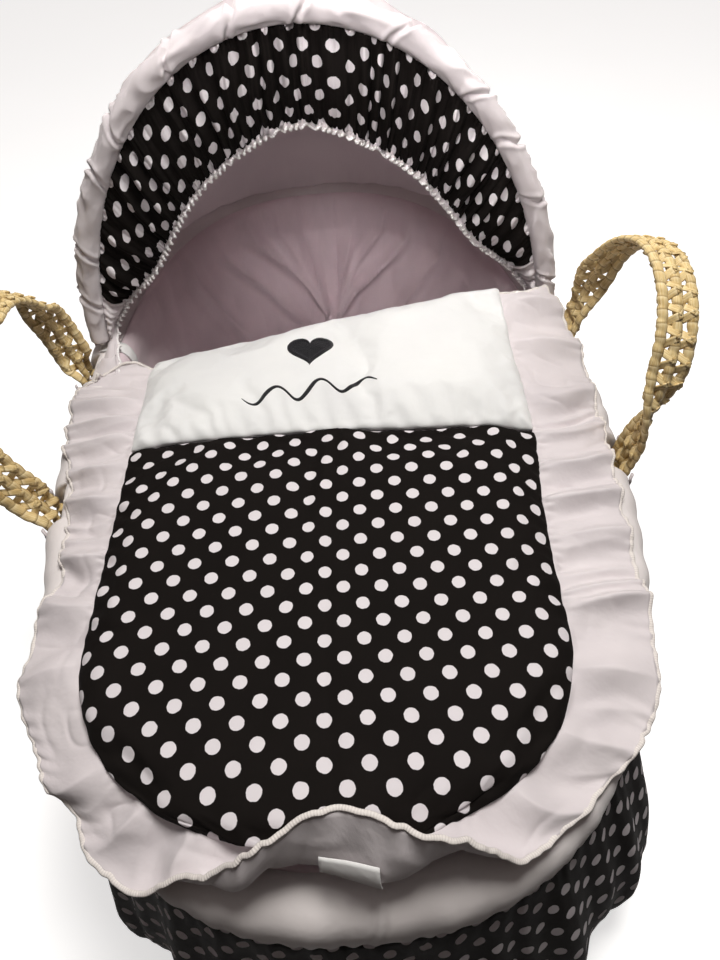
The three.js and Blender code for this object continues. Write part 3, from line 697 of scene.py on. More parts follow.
def handle_line(word):
    """Middle line of an arch and the strap's wide and thick directions along it."""
    side, lean = SIDES[word], LEAN[word]
    leg = np.linspace(ARCH_GAP, LEG_HEIGHT, 25)[:-1]
    angle = np.linspace(np.pi, 0, 160)
    y = np.concatenate([leg * 0 - LEG_SPREAD, LEG_SPREAD * np.cos(angle), leg * 0 + LEG_SPREAD])
    h = np.concatenate([leg, LEG_HEIGHT + ARCH_RISE * np.sin(angle), leg[::-1]])
    tilt = math.radians(lean)
    up = np.array([side * math.sin(tilt), 0, math.cos(tilt)])
    out = np.array([side * math.cos(tilt), 0, -math.sin(tilt)])
    foot = np.array([side * HINGE_X, LEG_MIDDLE, HINGE_Z])
    centres = foot + h[:, None] * up + y[:, None] * np.array([0, 1, 0])
    centres[:, 0] += side * SKEW[word] * h * np.maximum(-y, 0) / LEG_SPREAD
    along = unit(np.gradient(centres, axis=0))
    turn = np.radians(strap_turn(word, h, y))[:, None]
    wide = unit(out * np.cos(turn) + np.cross(along, out) * np.sin(turn))
    return centres, wide, unit(np.cross(along, wide))


def anchor_line(side, leg_y):
    """The strap's fixed end, down the outside of the tub."""
    z = np.linspace(ANCHOR_BOTTOM, HINGE_Z - HINGE_GAP, 60)
    low, high = ANCHOR_BEND
    a, b = tub_size(np.minimum(z, low))
    on_wall = oval_x(a, b, leg_y) + 6
    bend = np.clip((z - low) / (high - low), 0, 1)
    x = lerp(on_wall, HINGE_X, np.sin(np.pi / 2 * bend))
    centres = stack(side * x, leg_y, z)
    wide = np.tile([0.0, 1.0, 0.0], (len(z), 1))
    return centres, wide, run_of(centres, wide)[1]


def add_rib(shape, line, offset, seed):
    """One rib of the strap: a core wrapped in leaf, each turn lapping the last."""
    centres, wide, thick = line
    length = arc_lengths(centres)
    fine = np.linspace(0, length[-1], int(length[-1] / 1.3))
    middle, across, deep = (read_along(values, length, fine) for values in (centres, wide, thick))
    sides = 12
    turn = np.arange(sides) / sides
    lap = fine[:, None] / WRAP + 0.7 * turn + 0.35 * noise(fine / 23, 0, seed)[:, None]
    lap = lap - np.floor(lap)
    barrel = hump(lap) ** 0.5
    ripple = 0.66 + 0.32 * barrel + 0.14 * lap + 0.04 * noise(fine[:, None] / 3, turn * 5, seed + 1)
    middle = middle + across * offset + deep * (0.5 * noise(fine / 30, 1, seed))[:, None]
    shape.tube(middle, across * RIB_HALF, deep * RIB_DEEP, sides, ripple, uv_offset=400 * seed)


def add_links(shape, line, low, high, seed):
    """A zigzag of flat leaf between two ribs, over one and under the other."""
    length = arc_lengths(line[0])
    steps = np.linspace(-0.12, 1.12, 11)
    count = int(length[-1] / LINK_PITCH)
    for k in range(2 * count):
        start = (k / 2 + 0.15 + 0.12 * float(noise(k * 1.7, 0, seed))) * LINK_PITCH
        if start + LINK_PITCH / 2 > length[-1] - 2:
            break
        down = k % 2 == 0
        w = lerp(low, high, steps) if down else lerp(high, low, steps)
        s = start + steps * LINK_PITCH / 2
        lift = (RIB_DEEP + 0.7) * np.cos(np.pi * np.clip(steps, 0, 1)) * (1 if down else -1)
        ribbon(shape, line, length, s, w, lift, k)


def ribbon(shape, line, length, s, w, lift, k):
    """One leaf of a link: it is widest and a little twisted in the middle."""
    run = np.array([LINK_PITCH / 2, w[-1] - w[0]])
    across = np.array([-run[1], run[0]]) / np.linalg.norm(run)
    middle = np.linspace(0, 1, len(s))
    half = LINK_HALF * (0.72 + 0.38 * hump(middle))
    cols = []
    for side in (-1.0, -0.4, 0.4, 1.0):
        along = s + side * half * across[0]
        place = w + side * half * across[1]
        height = lift + 0.9 * side * hump(middle) + 0.5 * (1 - side * side)
        centre, out, up = (read_along(values, length, along) for values in line)
        cols.append(centre + out * place[:, None] + up * height[:, None])
    points = np.stack(cols, axis=1)
    uv = metric_uv(points.transpose(1, 0, 2)).transpose(1, 0, 2) + np.array([37.0 * k, 0])
    shape.sheet(points, uv, LINK_THICK)


def make_strap(name, line, body, seed, *nodes):
    shape = Shape()
    for i, offset in enumerate(RIBS):
        add_rib(shape, line, offset, seed + i)
    for i in range(len(RIBS) - 1):
        add_links(shape, line, RIBS[i], RIBS[i + 1], seed + 10 + i)
    wear(shape.build(name, MATERIAL["straw"]), body, "straw", *nodes)


def make_straps():
    for word, side in SIDES.items():
        seed = 3 if word == "left" else 23
        make_strap(f"strap_{word}", handle_line(word), f"handle_{word}", seed, f"handle_{word}")
        for end, sign in ENDS.items():
            leg_y = LEG_MIDDLE + sign * LEG_SPREAD
            line = anchor_line(side, leg_y)
            node = f"handle_anchor_{word}_{end}"
            make_strap(f"strap_end_{word}_{end}", line, "basket", seed + 40 + sign, node)


# ---------- the liner, its roll and the skirt ----------

ROLL_PROFILE = [  # inset from the outside and height: up the outside, over and down the inside
    (1.5, 211), (-0.3, 218), (-1.2, 228), (-0.4, 238), (3.5, 246.5), (10.5, 251.6), (20, 253),
    (29.5, 251.6), (36.5, 246.5), (39.8, 238), (40, 230), (38.6, 224.3),
]
ROLL_INSIDE = [(33.5, 225), (33, 246.3), (20, 246.3), (7, 246.3), (7.6, 232), (8.2, 211.5)]


def slot_share(points):
    """1 where a point lies beside one of the four strap slots, and 0 elsewhere."""
    near_side = smoothstep(np.abs(points[..., 0]), 150, 160)
    share = np.zeros(points.shape[:-1])
    for sign in ENDS.values():
        off = np.abs(points[..., 1] - (LEG_MIDDLE + sign * LEG_SPREAD))
        share = np.maximum(share, 1 - smoothstep(off, SLOT_HALF - 1.4, SLOT_HALF + 0.6))
    return share * near_side


def roll_profile():
    """The roll's visible profile, rounded, then its hidden underside."""
    outside = np.array(ROLL_PROFILE, float)
    along = arc_lengths(outside)
    fine = np.linspace(0, along[-1], 26)
    rounded = smooth_curve(np.column_stack([along, outside]), fine)
    return np.concatenate([rounded, np.array(ROLL_INSIDE, float)]), len(fine)


def make_roll():
    turn = even_turns(ROLL_COLS)[None]
    profile, shown = roll_profile()
    base = ring(0, 0, turn)
    slot = slot_share(base)
    share = ring_shares(ROLL_COLS)
    t = np.clip(np.arange(len(profile)) / (shown - 1), 0, 1)[:, None]
    seam = np.maximum(bump(t, 0, 0.16), bump(t, 1, 0.14))
    puff = 1.3 * ring_noise(share, 22, 3) * hump(t)
    pucker = 0.9 * waves(share, 150, 5, ring=True) * seam
    pucker = pucker + 0.7 * waves(share, 61, 6, ring=True) * hump(t)
    off_seam = np.abs(base[..., 0] - 14 * (t - 0.5) - FOOT_SEAM_X)
    at_foot = bump(off_seam, 3.2, 1.6) * (base[..., 1] < 0)
    seam_groove = 1.8 * at_foot * hump(t)
    hidden = (np.arange(len(profile)) >= shown)[:, None]
    swell = (puff + pucker - seam_groove) * np.sign(ROLL_MIDDLE - profile[:, :1])
    inset = profile[:, :1] - np.where(hidden, 0, swell)
    lift = 0.6 * (puff - seam_groove) * smoothstep(profile[:, 1:], 236, 250)
    z = profile[:, 1:] + np.where(hidden, 0, lift)
    cut_inset, cut_z = np.maximum(inset, SLOT_INSET), np.maximum(z, SLOT_Z)
    outer = profile[:, :1] < SLOT_INSET
    inset = np.where(outer, lerp(inset, cut_inset, slot), inset)
    z = np.where(outer, lerp(z, cut_z, slot), z)
    points = ring(inset, z, turn)
    closed = np.concatenate([points, points[:1]])
    uv = metric_uv(closed, wrap_cols=True)
    shape = Shape()
    shape.grid(points, uv, wrap_rows=True, wrap_cols=True)
    roll = shape.build("rim_roll", MATERIAL["roll"])
    wear(roll, "basket", "liner_cloth", "liner_roll")


def make_slot_trims():
    """A bound, wavy edge round each strap slot."""
    for word, side in SIDES.items():
        for end, sign in ENDS.items():
            leg_y = LEG_MIDDLE + sign * LEG_SPREAD
            half = SLOT_HALF + 1.2
            corners = np.array([(-half, 246), (-half, 216), (0, 214.4), (half, 216), (half, 246)], float)
            along = arc_lengths(corners)
            s = np.linspace(0, along[-1], 110)
            path = read_along(corners, along, s)
            frill = 1.3 * np.sin(2 * np.pi * s / 8.5 + 2 * noise(s / 14, 0, leg_y))
            y = leg_y + path[:, 0] + frill * 0.5 * (np.abs(path[:, 0]) > half - 1)
            x = oval_x(ROLL_A, ROLL_B, y) + 1.4 + 0.5 * frill
            centres = stack(side * x, y, path[:, 1])
            outwards = np.tile([float(side), 0.0, 0.0], (len(s), 1))
            _, across = run_of(centres, outwards)
            shape = Shape()
            shape.tube(centres, across * 2.1, outwards * 1.1, 10)
            trim = shape.build(f"slot_trim_{word}_{end}", MATERIAL["white"])
            wear(trim, "basket", "white_cloth", f"slot_binding_{word}_{end}")


LINER_FOLDS = [  # share round the oval, lean, depth and width of the folds at the head end
    (0.150, 0.06, 8, 12), (0.176, 0.10, 14, 13), (0.199, 0.07, 7, 8), (0.222, 0.03, 9, 9),
    (0.262, -0.02, 10, 9), (0.284, -0.06, 7, 8), (0.303, -0.10, 15, 14), (0.330, -0.09, 9, 11),
    (0.356, -0.05, 8, 12),
]
LINER_SEAM = 0.2385  # share round the oval of the liner's seam at the head end
LINER_LIP = [  # the liner's upper edge over the roll: inset from the roll's outside, and height
    (40.8, 215), (41.4, 222), (41.8, 230), (41.3, 238.4), (39.6, 244), (37.4, 247.8), (34.8, 250.4),
    (32.4, 251.6),
]


def fold_section(off):
    """A fold across its width: steep and sharp on one side, soft on the other."""
    return np.exp(-np.abs(off) * np.where(off < 0, 2.2, 0.9)) - 0.45 * bump(off, 2.0, 1.2)


def liner_folds(share, depth):
    """Soft folds that hang from the rim of the liner: depth is 0 at the rim and 1 at the floor."""
    folds = np.zeros(np.broadcast(share, depth).shape)
    for place, lean, deep, width in LINER_FOLDS:
        off = (share - place - lean * depth) * LINER_GIRTH
        off = off + 5 * noise(depth * 4, place * 40, 9)
        folds += 1.45 * smoothstep(depth, -0.12, 0.22) * deep * fold_section(off / width)
    folds += 2.2 * waves(share, 34, 8, ring=True) * smoothstep(depth, -0.1, 0.3)
    folds += 2.0 * ring_noise(share, 16, 4, 0, 3 * depth)
    return folds, 3.0 * bump((share - LINER_SEAM) * LINER_GIRTH, 0, 2.6)


def make_liner_wall():
    turn = even_turns(LINER_COLS)[None]
    share = ring_shares(LINER_COLS)
    z = np.linspace(11, 208, 40)[:, None]
    folds, seam = liner_folds(share, (224 - z) / 213)
    a, b = tub_size(z)
    inset = np.clip(folds, -1.5, lerp(15, 21, smoothstep(z, 50, 110))) - seam
    wall_a = np.minimum(a - LINER_INSET, ROLL_A - LINER_GAP)
    wall_b = np.minimum(b - LINER_INSET, ROLL_B - LINER_GAP)
    wall = stack(*oval(wall_a - inset, wall_b - inset, turn), z)
    behind = tub_ring(10 + 0 * folds, z, turn)
    lip = np.array(LINER_LIP)[:, None]
    rise = np.linspace(0, 1, len(LINER_LIP))[:, None]
    folds, seam = liner_folds(share, (1 - rise) * 0.07)
    bulge = np.clip(folds, -0.8, 9) * (1 - rise) ** 0.7 + 0.8 - 0.6 * seam * (1 - rise)
    lip_inset = lip[..., 0] + bulge
    front = np.concatenate([wall, ring(lip_inset, lip[..., 1], turn)])
    low = np.clip(lip[..., 0] - 1.0, 30, 40.4)
    under = np.concatenate([behind, ring(low + 0 * folds, lip[..., 1] - 0.7 * rise, turn)])
    uv = metric_uv(front, wrap_cols=True)
    shape = Shape()
    shape.shell(under, front, uv, True)
    wall = shape.build("padded_liner", MATERIAL["liner"])
    wear(wall, "basket", "liner_cloth", "liner_wall")


def disc(shape, a, b, profile, cols, lift, reach, seed):
    """A pad on an oval outline, from a profile of [share of the outline, height].

    Its surface ripples by lift, with about one ripple per reach."""
    turn = even_turns(cols)[None]
    share, z = (np.array([p[i] for p in profile], float)[:, None] for i in (0, 1))
    x, y = oval(a * share, lerp(b - a, b, share), turn)
    ripple = lift * noise(x / reach, y / reach, seed)
    points = stack(x, y, z + ripple * np.sign(z - z.mean()))
    uv = np.concatenate([points[..., :2], points[:, :1, :2]], axis=1)
    shape.capped(points, uv)


def make_liner_floor():
    shape = Shape()
    a, b = (size - 11 for size in tub_size(LINER_FLOOR))
    shares = np.linspace(0.02, 1, 12)
    profile = [(s, LINER_FLOOR) for s in shares] + [(s, LINER_FLOOR_TOP) for s in shares[::-1]]
    disc(shape, a, b, profile, 160, 0.12, 30, 2)
    piece = wear(shape.build("liner_base", MATERIAL["liner"]), "basket", "liner_cloth", "liner_floor")


def make_mattress():
    shape = Shape()
    flat = [(s, MATTRESS_BOTTOM) for s in np.linspace(0.03, 0.93, 12)]
    side = [(0.975, 12.8), (0.996, 17), (1.0, 22), (0.996, 26)]
    side = side + [(0.996, 28), (1.0, 32), (0.99, 37.5), (0.965, 41.6)]
    top = [(s, MATTRESS_TOP - 3 * s * s) for s in np.linspace(0.92, 0.03, 16)]
    disc(shape, MATTRESS_A, MATTRESS_B, flat + side + top, 300, 0.5, 45, 7)
    mattress = shape.build("mattress", MATERIAL["white"])
    nodes = ["mattress_foam", "mattress_cover_base", "mattress_cover_top"]
    wear(mattress, "basket", "white_cloth", *nodes)
    shape = Shape()
    turn = even_turns(400)
    closed = np.append(turn, turn[0])
    x, y = oval(MATTRESS_A - 0.2, MATTRESS_B - 0.2, closed)
    centres = stack(x, y, MATTRESS_SEAM)
    up = np.tile([0.0, 0.0, PIPING_RADIUS], (len(closed), 1))
    shape.tube(centres, unit(centres * [1, 1, 0]) * PIPING_RADIUS, up, 8)
    piping = shape.build("mattress_piping", MATERIAL["white"])
    wear(piping, "basket", "white_cloth")


SKIRT_SPREAD = [  # share round the oval and how far the hem stands out there
    (0, 9), (0.1, 12), (0.25, 16), (0.4, 12), (0.5, 14), (0.58, 20), (0.66, 30), (0.75, 30),
    (0.80, 38), (0.84, 40), (0.88, 26), (0.93, 12), (1, 9),
]


def make_skirt():
    turn = even_turns(SKIRT_COLS)[None]
    share = ring_shares(SKIRT_COLS)
    t = np.linspace(0, 1, SKIRT_ROWS)[:, None]
    spread = smooth_curve(SKIRT_SPREAD, share[0])[:, 0][None]
    fall = np.sin(np.pi / 2 * np.clip(t, 0, 1)) ** 1.25
    big = waves(share, SKIRT_FOLDS, 11, ring=True, wander=0.6) * (6.5 * t**1.3)
    small = waves(share, 64, 12, ring=True) * (2.6 * t * (1.15 - t) * 3)
    gathers = waves(share, 190, 13, ring=True) * (1.1 * np.exp(-9 * t) + 0.3 * t) * smoothstep(t, 0, 0.06)
    crease = ring_noise(share, 30, 14, 3 * t, 4 * t)
    out = spread * fall + big + small + gathers + 1.5 * crease * t - 1.8 * np.exp(-30 * t)
    hitch = 24 * bump(share, 0.86, 0.055)
    dip = 2.5 * waves(share, SKIRT_FOLDS, 15, ring=True) * t**3
    z = lerp(SKIRT_TOP, SKIRT_HEM + hitch, t) + dip + 3 * t
    points = ring(-out, z, turn)
    uv = metric_uv(points, SKIRT_SHRINK, wrap_cols=True)
    drop = uv[:, :-1, 1]
    folded = smoothstep(drop, drop[-1:] - HEM_FOLD - 0.5, drop[-1:] - HEM_FOLD + 0.5)
    stitch = bump(drop, drop[-1:] - HEM_FOLD + 2, 1.2)
    shape = Shape()
    shape.sheet(points, uv, CLOTH + 1.2 * folded - 1.3 * stitch, wrap_cols=True)
    skirt = shape.build("polka_skirt", MATERIAL["polka"])
    wear(skirt, "basket", "polka_cloth", "skirt")


# ---------- the hood ----------


def hood_point(x, height, depth):
    """A point of the hood's leaning frame, as in the CAD model."""
    foot_y = HOOD_Y - (HOOD_Z - HOOD_BASE) * math.tan(HOOD_LEAN)
    shift = HOOD_SHIFT * np.clip(height / HOOP_B, 0, 1)
    y = foot_y + height * math.sin(HOOD_LEAN) + depth * math.cos(HOOD_LEAN)
    z = HOOD_BASE + height * math.cos(HOOD_LEAN) - depth * math.sin(HOOD_LEAN)
    return stack(x + shift, y, z)


def hoop_at(angle, out):
    """x and height on the hoop's middle line, moved outwards."""
    nx, ny = np.cos(angle) / HOOP_A, np.sin(angle) / HOOP_B
    length = np.hypot(nx, ny)
    return HOOP_A * np.cos(angle) + out * nx / length, HOOP_B * np.sin(angle) + out * ny / length


def hoop_start(above):
    return math.asin((HOOD_Z - HOOD_BASE + above) / HOOP_B)


def hoop_angles(above, share):
    first = hoop_start(above)
    return lerp(first, math.pi - first, share)


def hood_edge(share):
    """x and height on the elastic edge, by share of its length from the right foot."""
    left = [(-x, h) for x, h in reversed(HOOD_SIDE)]
    stations = np.array(HOOD_SIDE + [HOOD_TOP] + left, float)
    chord = arc_lengths(stations)
    fine = np.linspace(0, chord[-1], 400)
    line = smooth_curve(np.column_stack([chord, stations]), fine)
    length = arc_lengths(line)
    at = share * length[-1]
    return np.interp(at, length, line[:, 0]), np.interp(at, length, line[:, 1]), length[-1]


def puckers(along, slant, places, sharp=4.0):
    """Bunched cloth: a notch with a swelling on each side, at every place."""
    height = 0
    for place in places:
        off = along - place + slant
        notch = np.exp(-np.abs(off) / sharp)
        height = height - 5.5 * notch + 2.1 * bump(np.abs(off), 2.2 * sharp, 1.2 * sharp)
    return height


def make_casing():
    rows, sides = 760, 36
    share = np.linspace(0, 1, rows)[:, None]
    turn = 2 * np.pi * np.arange(sides)[None] / sides
    angle = hoop_angles(CASING_FOOT, share)
    x, h = hoop_at(angle[:, 0], 0)
    along = arc_lengths(stack(x, h, 0))[:, None]
    total = along[-1, 0]
    steps = [k + 0.5 + 0.33 * float(noise(k * 2.3, 0, 21)) for k in range(CASING_NOTCHES)]
    places = [total * step / CASING_NOTCHES for step in steps]
    slant = 7 * np.cos(turn) + 9 * noise(along / 60, 0, 22) * np.sin(turn)
    free = smoothstep(np.abs(turn - np.pi), 0.15, 1.0)
    swell = puckers(along, slant, places, 2.0) * (0.2 + 0.8 * free)
    twist = np.abs(noise(along / 19 + 1.3 * np.sin(turn), turn * 1.1, 23))
    swell = swell + (4.4 * (0.3 - twist) + 1.0 * noise(along / 9 + 1.5 * np.sin(turn), turn, 24)) * free
    seam = bump(np.abs(turn - np.pi), 0, 0.30)
    foot = smoothstep(np.minimum(along, total - along), 0, 60)
    wide = (CASING_WIDE - 0.8 + swell) * lerp(0.86, 1, foot)
    deep = CASING_DEEP + 0.5 * swell - 3.2 * seam
    px, ph = hoop_at(angle, wide * np.cos(turn) + 0.6)
    loops = hood_point(px, ph, deep * np.sin(turn))
    around = np.linspace(0, CASING_GIRTH, sides + 1)[None]
    uv = stack(along, around)
    shape = Shape()
    shape.capped(loops, uv)
    casing = shape.build("hoop_casing", MATERIAL["white"])
    wear(casing, "hood", "white_cloth", "hood_casing")


def tail_share(along):
    """0 on the hood's arch, and up to 1 at the tips of the tails beyond its two feet."""
    return np.clip(np.maximum(-along, along - 1) / TAIL_SHARE, 0, 1)[..., None]


def tail_path(foot, across, t):
    """Runs on from the hood's foot, forwards and down onto the roll."""
    side = np.sign(foot[..., 0])
    bend = foot + stack(4 * side, -8, -13)
    tip = stack(side * lerp(*TAIL_X, across), HOOD_Y - TAIL_LENGTH, TAIL_Z + 2 * hump(across))
    return (1 - t) ** 2 * foot + 2 * t * (1 - t) * bend + t * t * tip


def strip_point(along, across, lift=0):
    """A point of the gathered strip between the casing and the elastic edge."""
    on_arch = np.clip(along, 0, 1)
    seam_x, seam_h = hoop_at(hoop_angles(CASING_FOOT + 3, on_arch), -CASING_WIDE + 1.5)
    edge_x, edge_h, _ = hood_edge(on_arch)
    puff = -6 * hump(across)
    depth = puff + ELASTIC_DEPTH * across + lift
    point = hood_point(lerp(seam_x, edge_x, across), lerp(seam_h, edge_h, across), depth)
    t = tail_share(along)
    return tail_path(point, across, t) + t * stack(0, 0, lift)


def hang_from_hood(obj, *nodes):
    """The piece is baked in place and rides on no body; the tips of its tails lie on the basket."""
    if nodes:
        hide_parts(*nodes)
    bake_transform(obj)


def strip_folds(along, across, seed):
    """Gathers that are soft at the casing and crowd into sharp folds at the elastic."""
    drift = along + 0.012 * noise(along * 14, across * 1.3, seed)
    crowd = hump(np.clip(0.12 + 0.80 * across, 0, 1)) ** 0.8
    big = (waves(drift, 33, seed, wander=0.6) - 0.3 * waves(drift, 66, seed, wander=0.6)) * 4.6 * crowd
    mid = waves(drift - 0.004 * across, 71, seed + 1, wander=0.7) * 2.0 * across
    fine = waves(along, 132, seed + 2) * (1.2 * across**3 + 0.9 * (1 - across) ** 5)
    level = 0.75 + 0.6 * noise(along * 18, across, seed + 3)
    return (big + mid) * level + fine


def make_strip(name, low, high, cols, material, fullness):
    along = np.linspace(low, high, cols)[None]
    across = np.linspace(0, 1, 34)[:, None]
    points = strip_point(along, across, strip_folds(along, across, 31))
    uv = metric_uv(points, fullness)
    strip = make_sheet(name, points, CLOTH, material, uv)
    width, length = float(uv[..., 1].max()), float(uv[0, -1, 0])
    return strip, (length * MM, width * MM)


def make_hood_strips():
    low, high = WING_SHARE + 0.001, 1 - WING_SHARE - 0.001
    band, flat = make_strip("hood_polka_band", low, high, 900, MATERIAL["polka"], GATHER_SHRINK)
    wear(band, "hood", "polka_cloth", "hood_band")
    flat = (flat[0] / GATHER_SHRINK, flat[1])
    for word, low, high in (("right", -TAIL_SHARE, WING_SHARE), ("left", 1 - WING_SHARE, 1 + TAIL_SHARE)):
        wing, flat = make_strip(f"hood_gather_{word}", low, high, 160, MATERIAL["white"], 1.0)
        hang_from_hood(wing, f"hood_wing_{word}")


def make_hood_edge():
    """The frilled edge beyond the elastic, with thread bound over it."""
    share = np.linspace(-TAIL_SHARE, 1 + TAIL_SHARE, 2400)
    on_arch = np.clip(share, 0, 1)
    x, h, length = hood_edge(on_arch)
    before, after = (stack(*hood_edge(np.clip(on_arch + step, 0, 1))[:2], 0) for step in (-0.001, 0.001))
    tangent = unit(after - before)
    inward = np.stack([-tangent[:, 1], tangent[:, 0]], axis=1)
    elastic = hood_point(x, h, ELASTIC_DEPTH)
    t = tail_share(share)
    moved = tail_path(elastic, 1.0, t) - elastic
    s = share * length
    phase = 2 * np.pi * (s / EDGE_PERIOD + 0.7 * noise(s / 16, 0, 41))
    rows = []
    for out, swing in EDGE_ROWS:
        reach = out + 0.55 * swing * np.cos(phase)
        depth = ELASTIC_DEPTH + CLOTH / 2 + swing * np.sin(phase)
        row = hood_point(x + inward[:, 0] * reach, h + inward[:, 1] * reach, depth)
        rows.append(row + moved + t * stack(0, 0, swing * np.sin(phase)))
    points = np.stack(rows)
    edge = make_sheet("hood_frilled_edge", points, 0.9, MATERIAL["white"])
    hang_from_hood(edge, "hood_edge")
    shape = Shape()
    line = points[-1]
    along, side = run_of(line, (0, 0.8, 0.6))
    ribs = 1 + 0.15 * np.sin(np.pi * s / 0.9)[:, None] + 0 * np.arange(6)[None]
    shape.tube(line, side * 1.3, np.cross(side, along) * 1.3, 6, ribs)
    hang_from_hood(shape.build("hood_edge_thread", MATERIAL["edging"]))
    flat = (arc_lengths(line)[-1] * MM, 0.01)


def cover_point(around, back, out):
    """A point of the white cover, from the casing (back 0) to the rim at the head (back 1)."""
    hoop_x, hoop_h = hoop_at(hoop_angles(CASING_FOOT + 2, around), CASING_WIDE - 6)
    front = hood_point(hoop_x, hoop_h, CASING_DEEP - 1)
    rim_a, rim_b = ROLL_A - COVER_INSET, ROLL_B - COVER_INSET
    rim_x = hoop_x * (oval_x(rim_a, rim_b, HOOD_Y) / HOOP_A)
    rim_y = oval_x(rim_b, rim_a, np.minimum(np.abs(rim_x), rim_a))
    run = np.maximum(rim_y - HOOD_Y, 12)
    reach = np.hypot(front[..., 1] - HOOD_Y, front[..., 2] - HOOD_Z)
    tilt = lerp(np.arctan2(front[..., 1] - HOOD_Y, front[..., 2] - HOOD_Z), np.pi / 2 - 0.01, back)
    radius = lerp(reach, run, back) + 10 * hump(back) * np.minimum(reach / HOOP_B, 1) + out
    x = lerp(front[..., 0], rim_x, back)
    tuck = (HOOD_Z - COVER_FOOT) * smoothstep(back, 0.86, 1.0)
    return stack(x, HOOD_Y + radius * np.sin(tilt), HOOD_Z + radius * np.cos(tilt) - tuck)


def make_hood_cover():
    around = np.linspace(0, 1, 260)[None]
    back = np.linspace(0, 1, 110)[:, None]
    fade = hump(np.clip(around, 0.02, 0.98)) ** 0.7
    ends = 0.25 + 0.75 * hump(back) ** 0.6
    folds = 3.2 * waves(around + 0.03 * back, 7, 51, wander=0.7) * ends
    swag = 0.10 * np.sin(np.pi * around * 3) + 0.05 * noise(around * 7, 0, 55)
    for place, deep in ((0.58, 4.0), (0.72, 5.0), (0.84, 4.0)):
        folds = folds - deep * bump(back + swag * (0.9 - place), place, 0.035)
    at_seams = bump(back, 0, 0.10) + bump(back, 1, 0.08)
    folds = folds + 0.4 * waves(around - 0.02 * back, 38, 52) * at_seams
    folds = folds + 3.5 * noise(around * 9, back * 5, 53) * hump(back)
    sag = -5 * bump(back + 0.15 * noise(around * 4, 0, 54), 0.45, 0.13) * fade
    points = cover_point(around, back, (folds * fade + sag) * fade)
    cover = make_sheet("hood_canopy", points, CLOTH, MATERIAL["canopy"])
    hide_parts("hood_cover")
    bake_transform(cover)


def make_hood_ties():
    for word, side in SIDES.items():
        insets = [(42.6, 222), (42.8, 236), (41.0, 244), (37.2, 249.8), (32, 253.3), (26, 254.4)]
        over = HOOP_A + 3.5
        path = [(oval_x(ROLL_A - inset, ROLL_B - inset, HOOD_Y), z) for inset, z in insets]
        path = np.array(path + [(over, 254.6)], float)
        s = np.linspace(0, arc_lengths(path)[-1], 24)
        line = read_along(path, arc_lengths(path), s)
        across = np.linspace(-TIE_HALF, TIE_HALF, 9)[:, None]
        rib = 0.25 * np.cos(2 * np.pi * across / 3.5)
        x = side * (line[None, :, 0] - rib)
        points = stack(x, HOOD_Y + across, line[None, :, 1] + 0.4 * noise(s[None] / 8, across / 9, 5))
        tape = make_sheet(f"hood_tape_{word}", points, TIE_THICK, MATERIAL["label"])
        wear(tape, "basket", "white_cloth", f"hood_tie_{word}")


# ---------- the coverlet ----------


def coverlet_point(u, v, z):
    c, s = math.cos(COVER_TURN), math.sin(COVER_TURN)
    return stack(COVER_X + u * c - v * s, COVER_Y + u * s + v * c, z)


def sewn_shape(u, v):
    """The coverlet isn't quite straight: its head edge slants and its sides flare a little."""
    share = u / COVER_HALF
    right = 9 * bump(v, 95, 75) - 2
    left = 2.5 + 7 * smoothstep(v, 110, 235)
    flare = np.where(u > 0, right, left) * smoothstep(v, -200, -100)
    return u + flare * share, v + HEAD_SLANT * share * smoothstep(v, SEAM_V, TOP_V)


def coverlet_z(u, v):
    across = u / COVER_HALF
    head = np.clip((v - SEAM_V) / (TOP_V - SEAM_V), 0, 1) ** 1.3
    return COVER_Z + COVER_CROWN * (1 - across**2) + head * (HEAD_LIFT + HEAD_TILT * across)


def coverlet_half(v):
    share = np.clip((FOOT_V - v) / FOOT_LENGTH, 0, 1)
    return COVER_HALF * (1 - share**FOOT_POWER) ** (1 / FOOT_POWER)


def seam_line(share):
    """v of the seam between the band and the panel: it wanders a little."""
    return SEAM_V + 1.6 * noise(share * 6, 0, 61) + 2.0 * hump(share)


def pad_grids(rows_v, cols, rise, wide_edge, end_share):
    """Top and bottom of a padded layer, pinched together round its outline.

    end_share is how steeply the layer dips into the seam between the two pads."""
    share = np.linspace(0, 1, cols)
    s = 2 * share - 1
    v = rows_v(share)
    u = coverlet_half(v) * s
    u = u + 0.9 * np.sign(s) * noise(v / 7, 3 * np.sign(s), 62) * smoothstep(np.abs(s), 0.85, 1)
    side = coverlet_half(v) - np.abs(u)
    ends = np.minimum(np.abs(v - v[:1]), np.abs(v - v[-1:])) * end_share
    edge = np.minimum(side, ends)
    puff = dome(edge, wide_edge)
    near_seam = smoothstep(side, 2, 40) * (1 - smoothstep(np.abs(v - seam_line(share)), 0, 30))
    base = coverlet_z(u, v) + SEAM_LIFT * near_seam * (1 - puff)
    top = coverlet_point(*sewn_shape(u, v), base + (rise + 1.0) * puff - 0.4)
    bottom = coverlet_point(*sewn_shape(u, v), base + (COVER_BOTTOM + 0.2) * puff - 0.4)
    return top, bottom, stack(u, v), edge


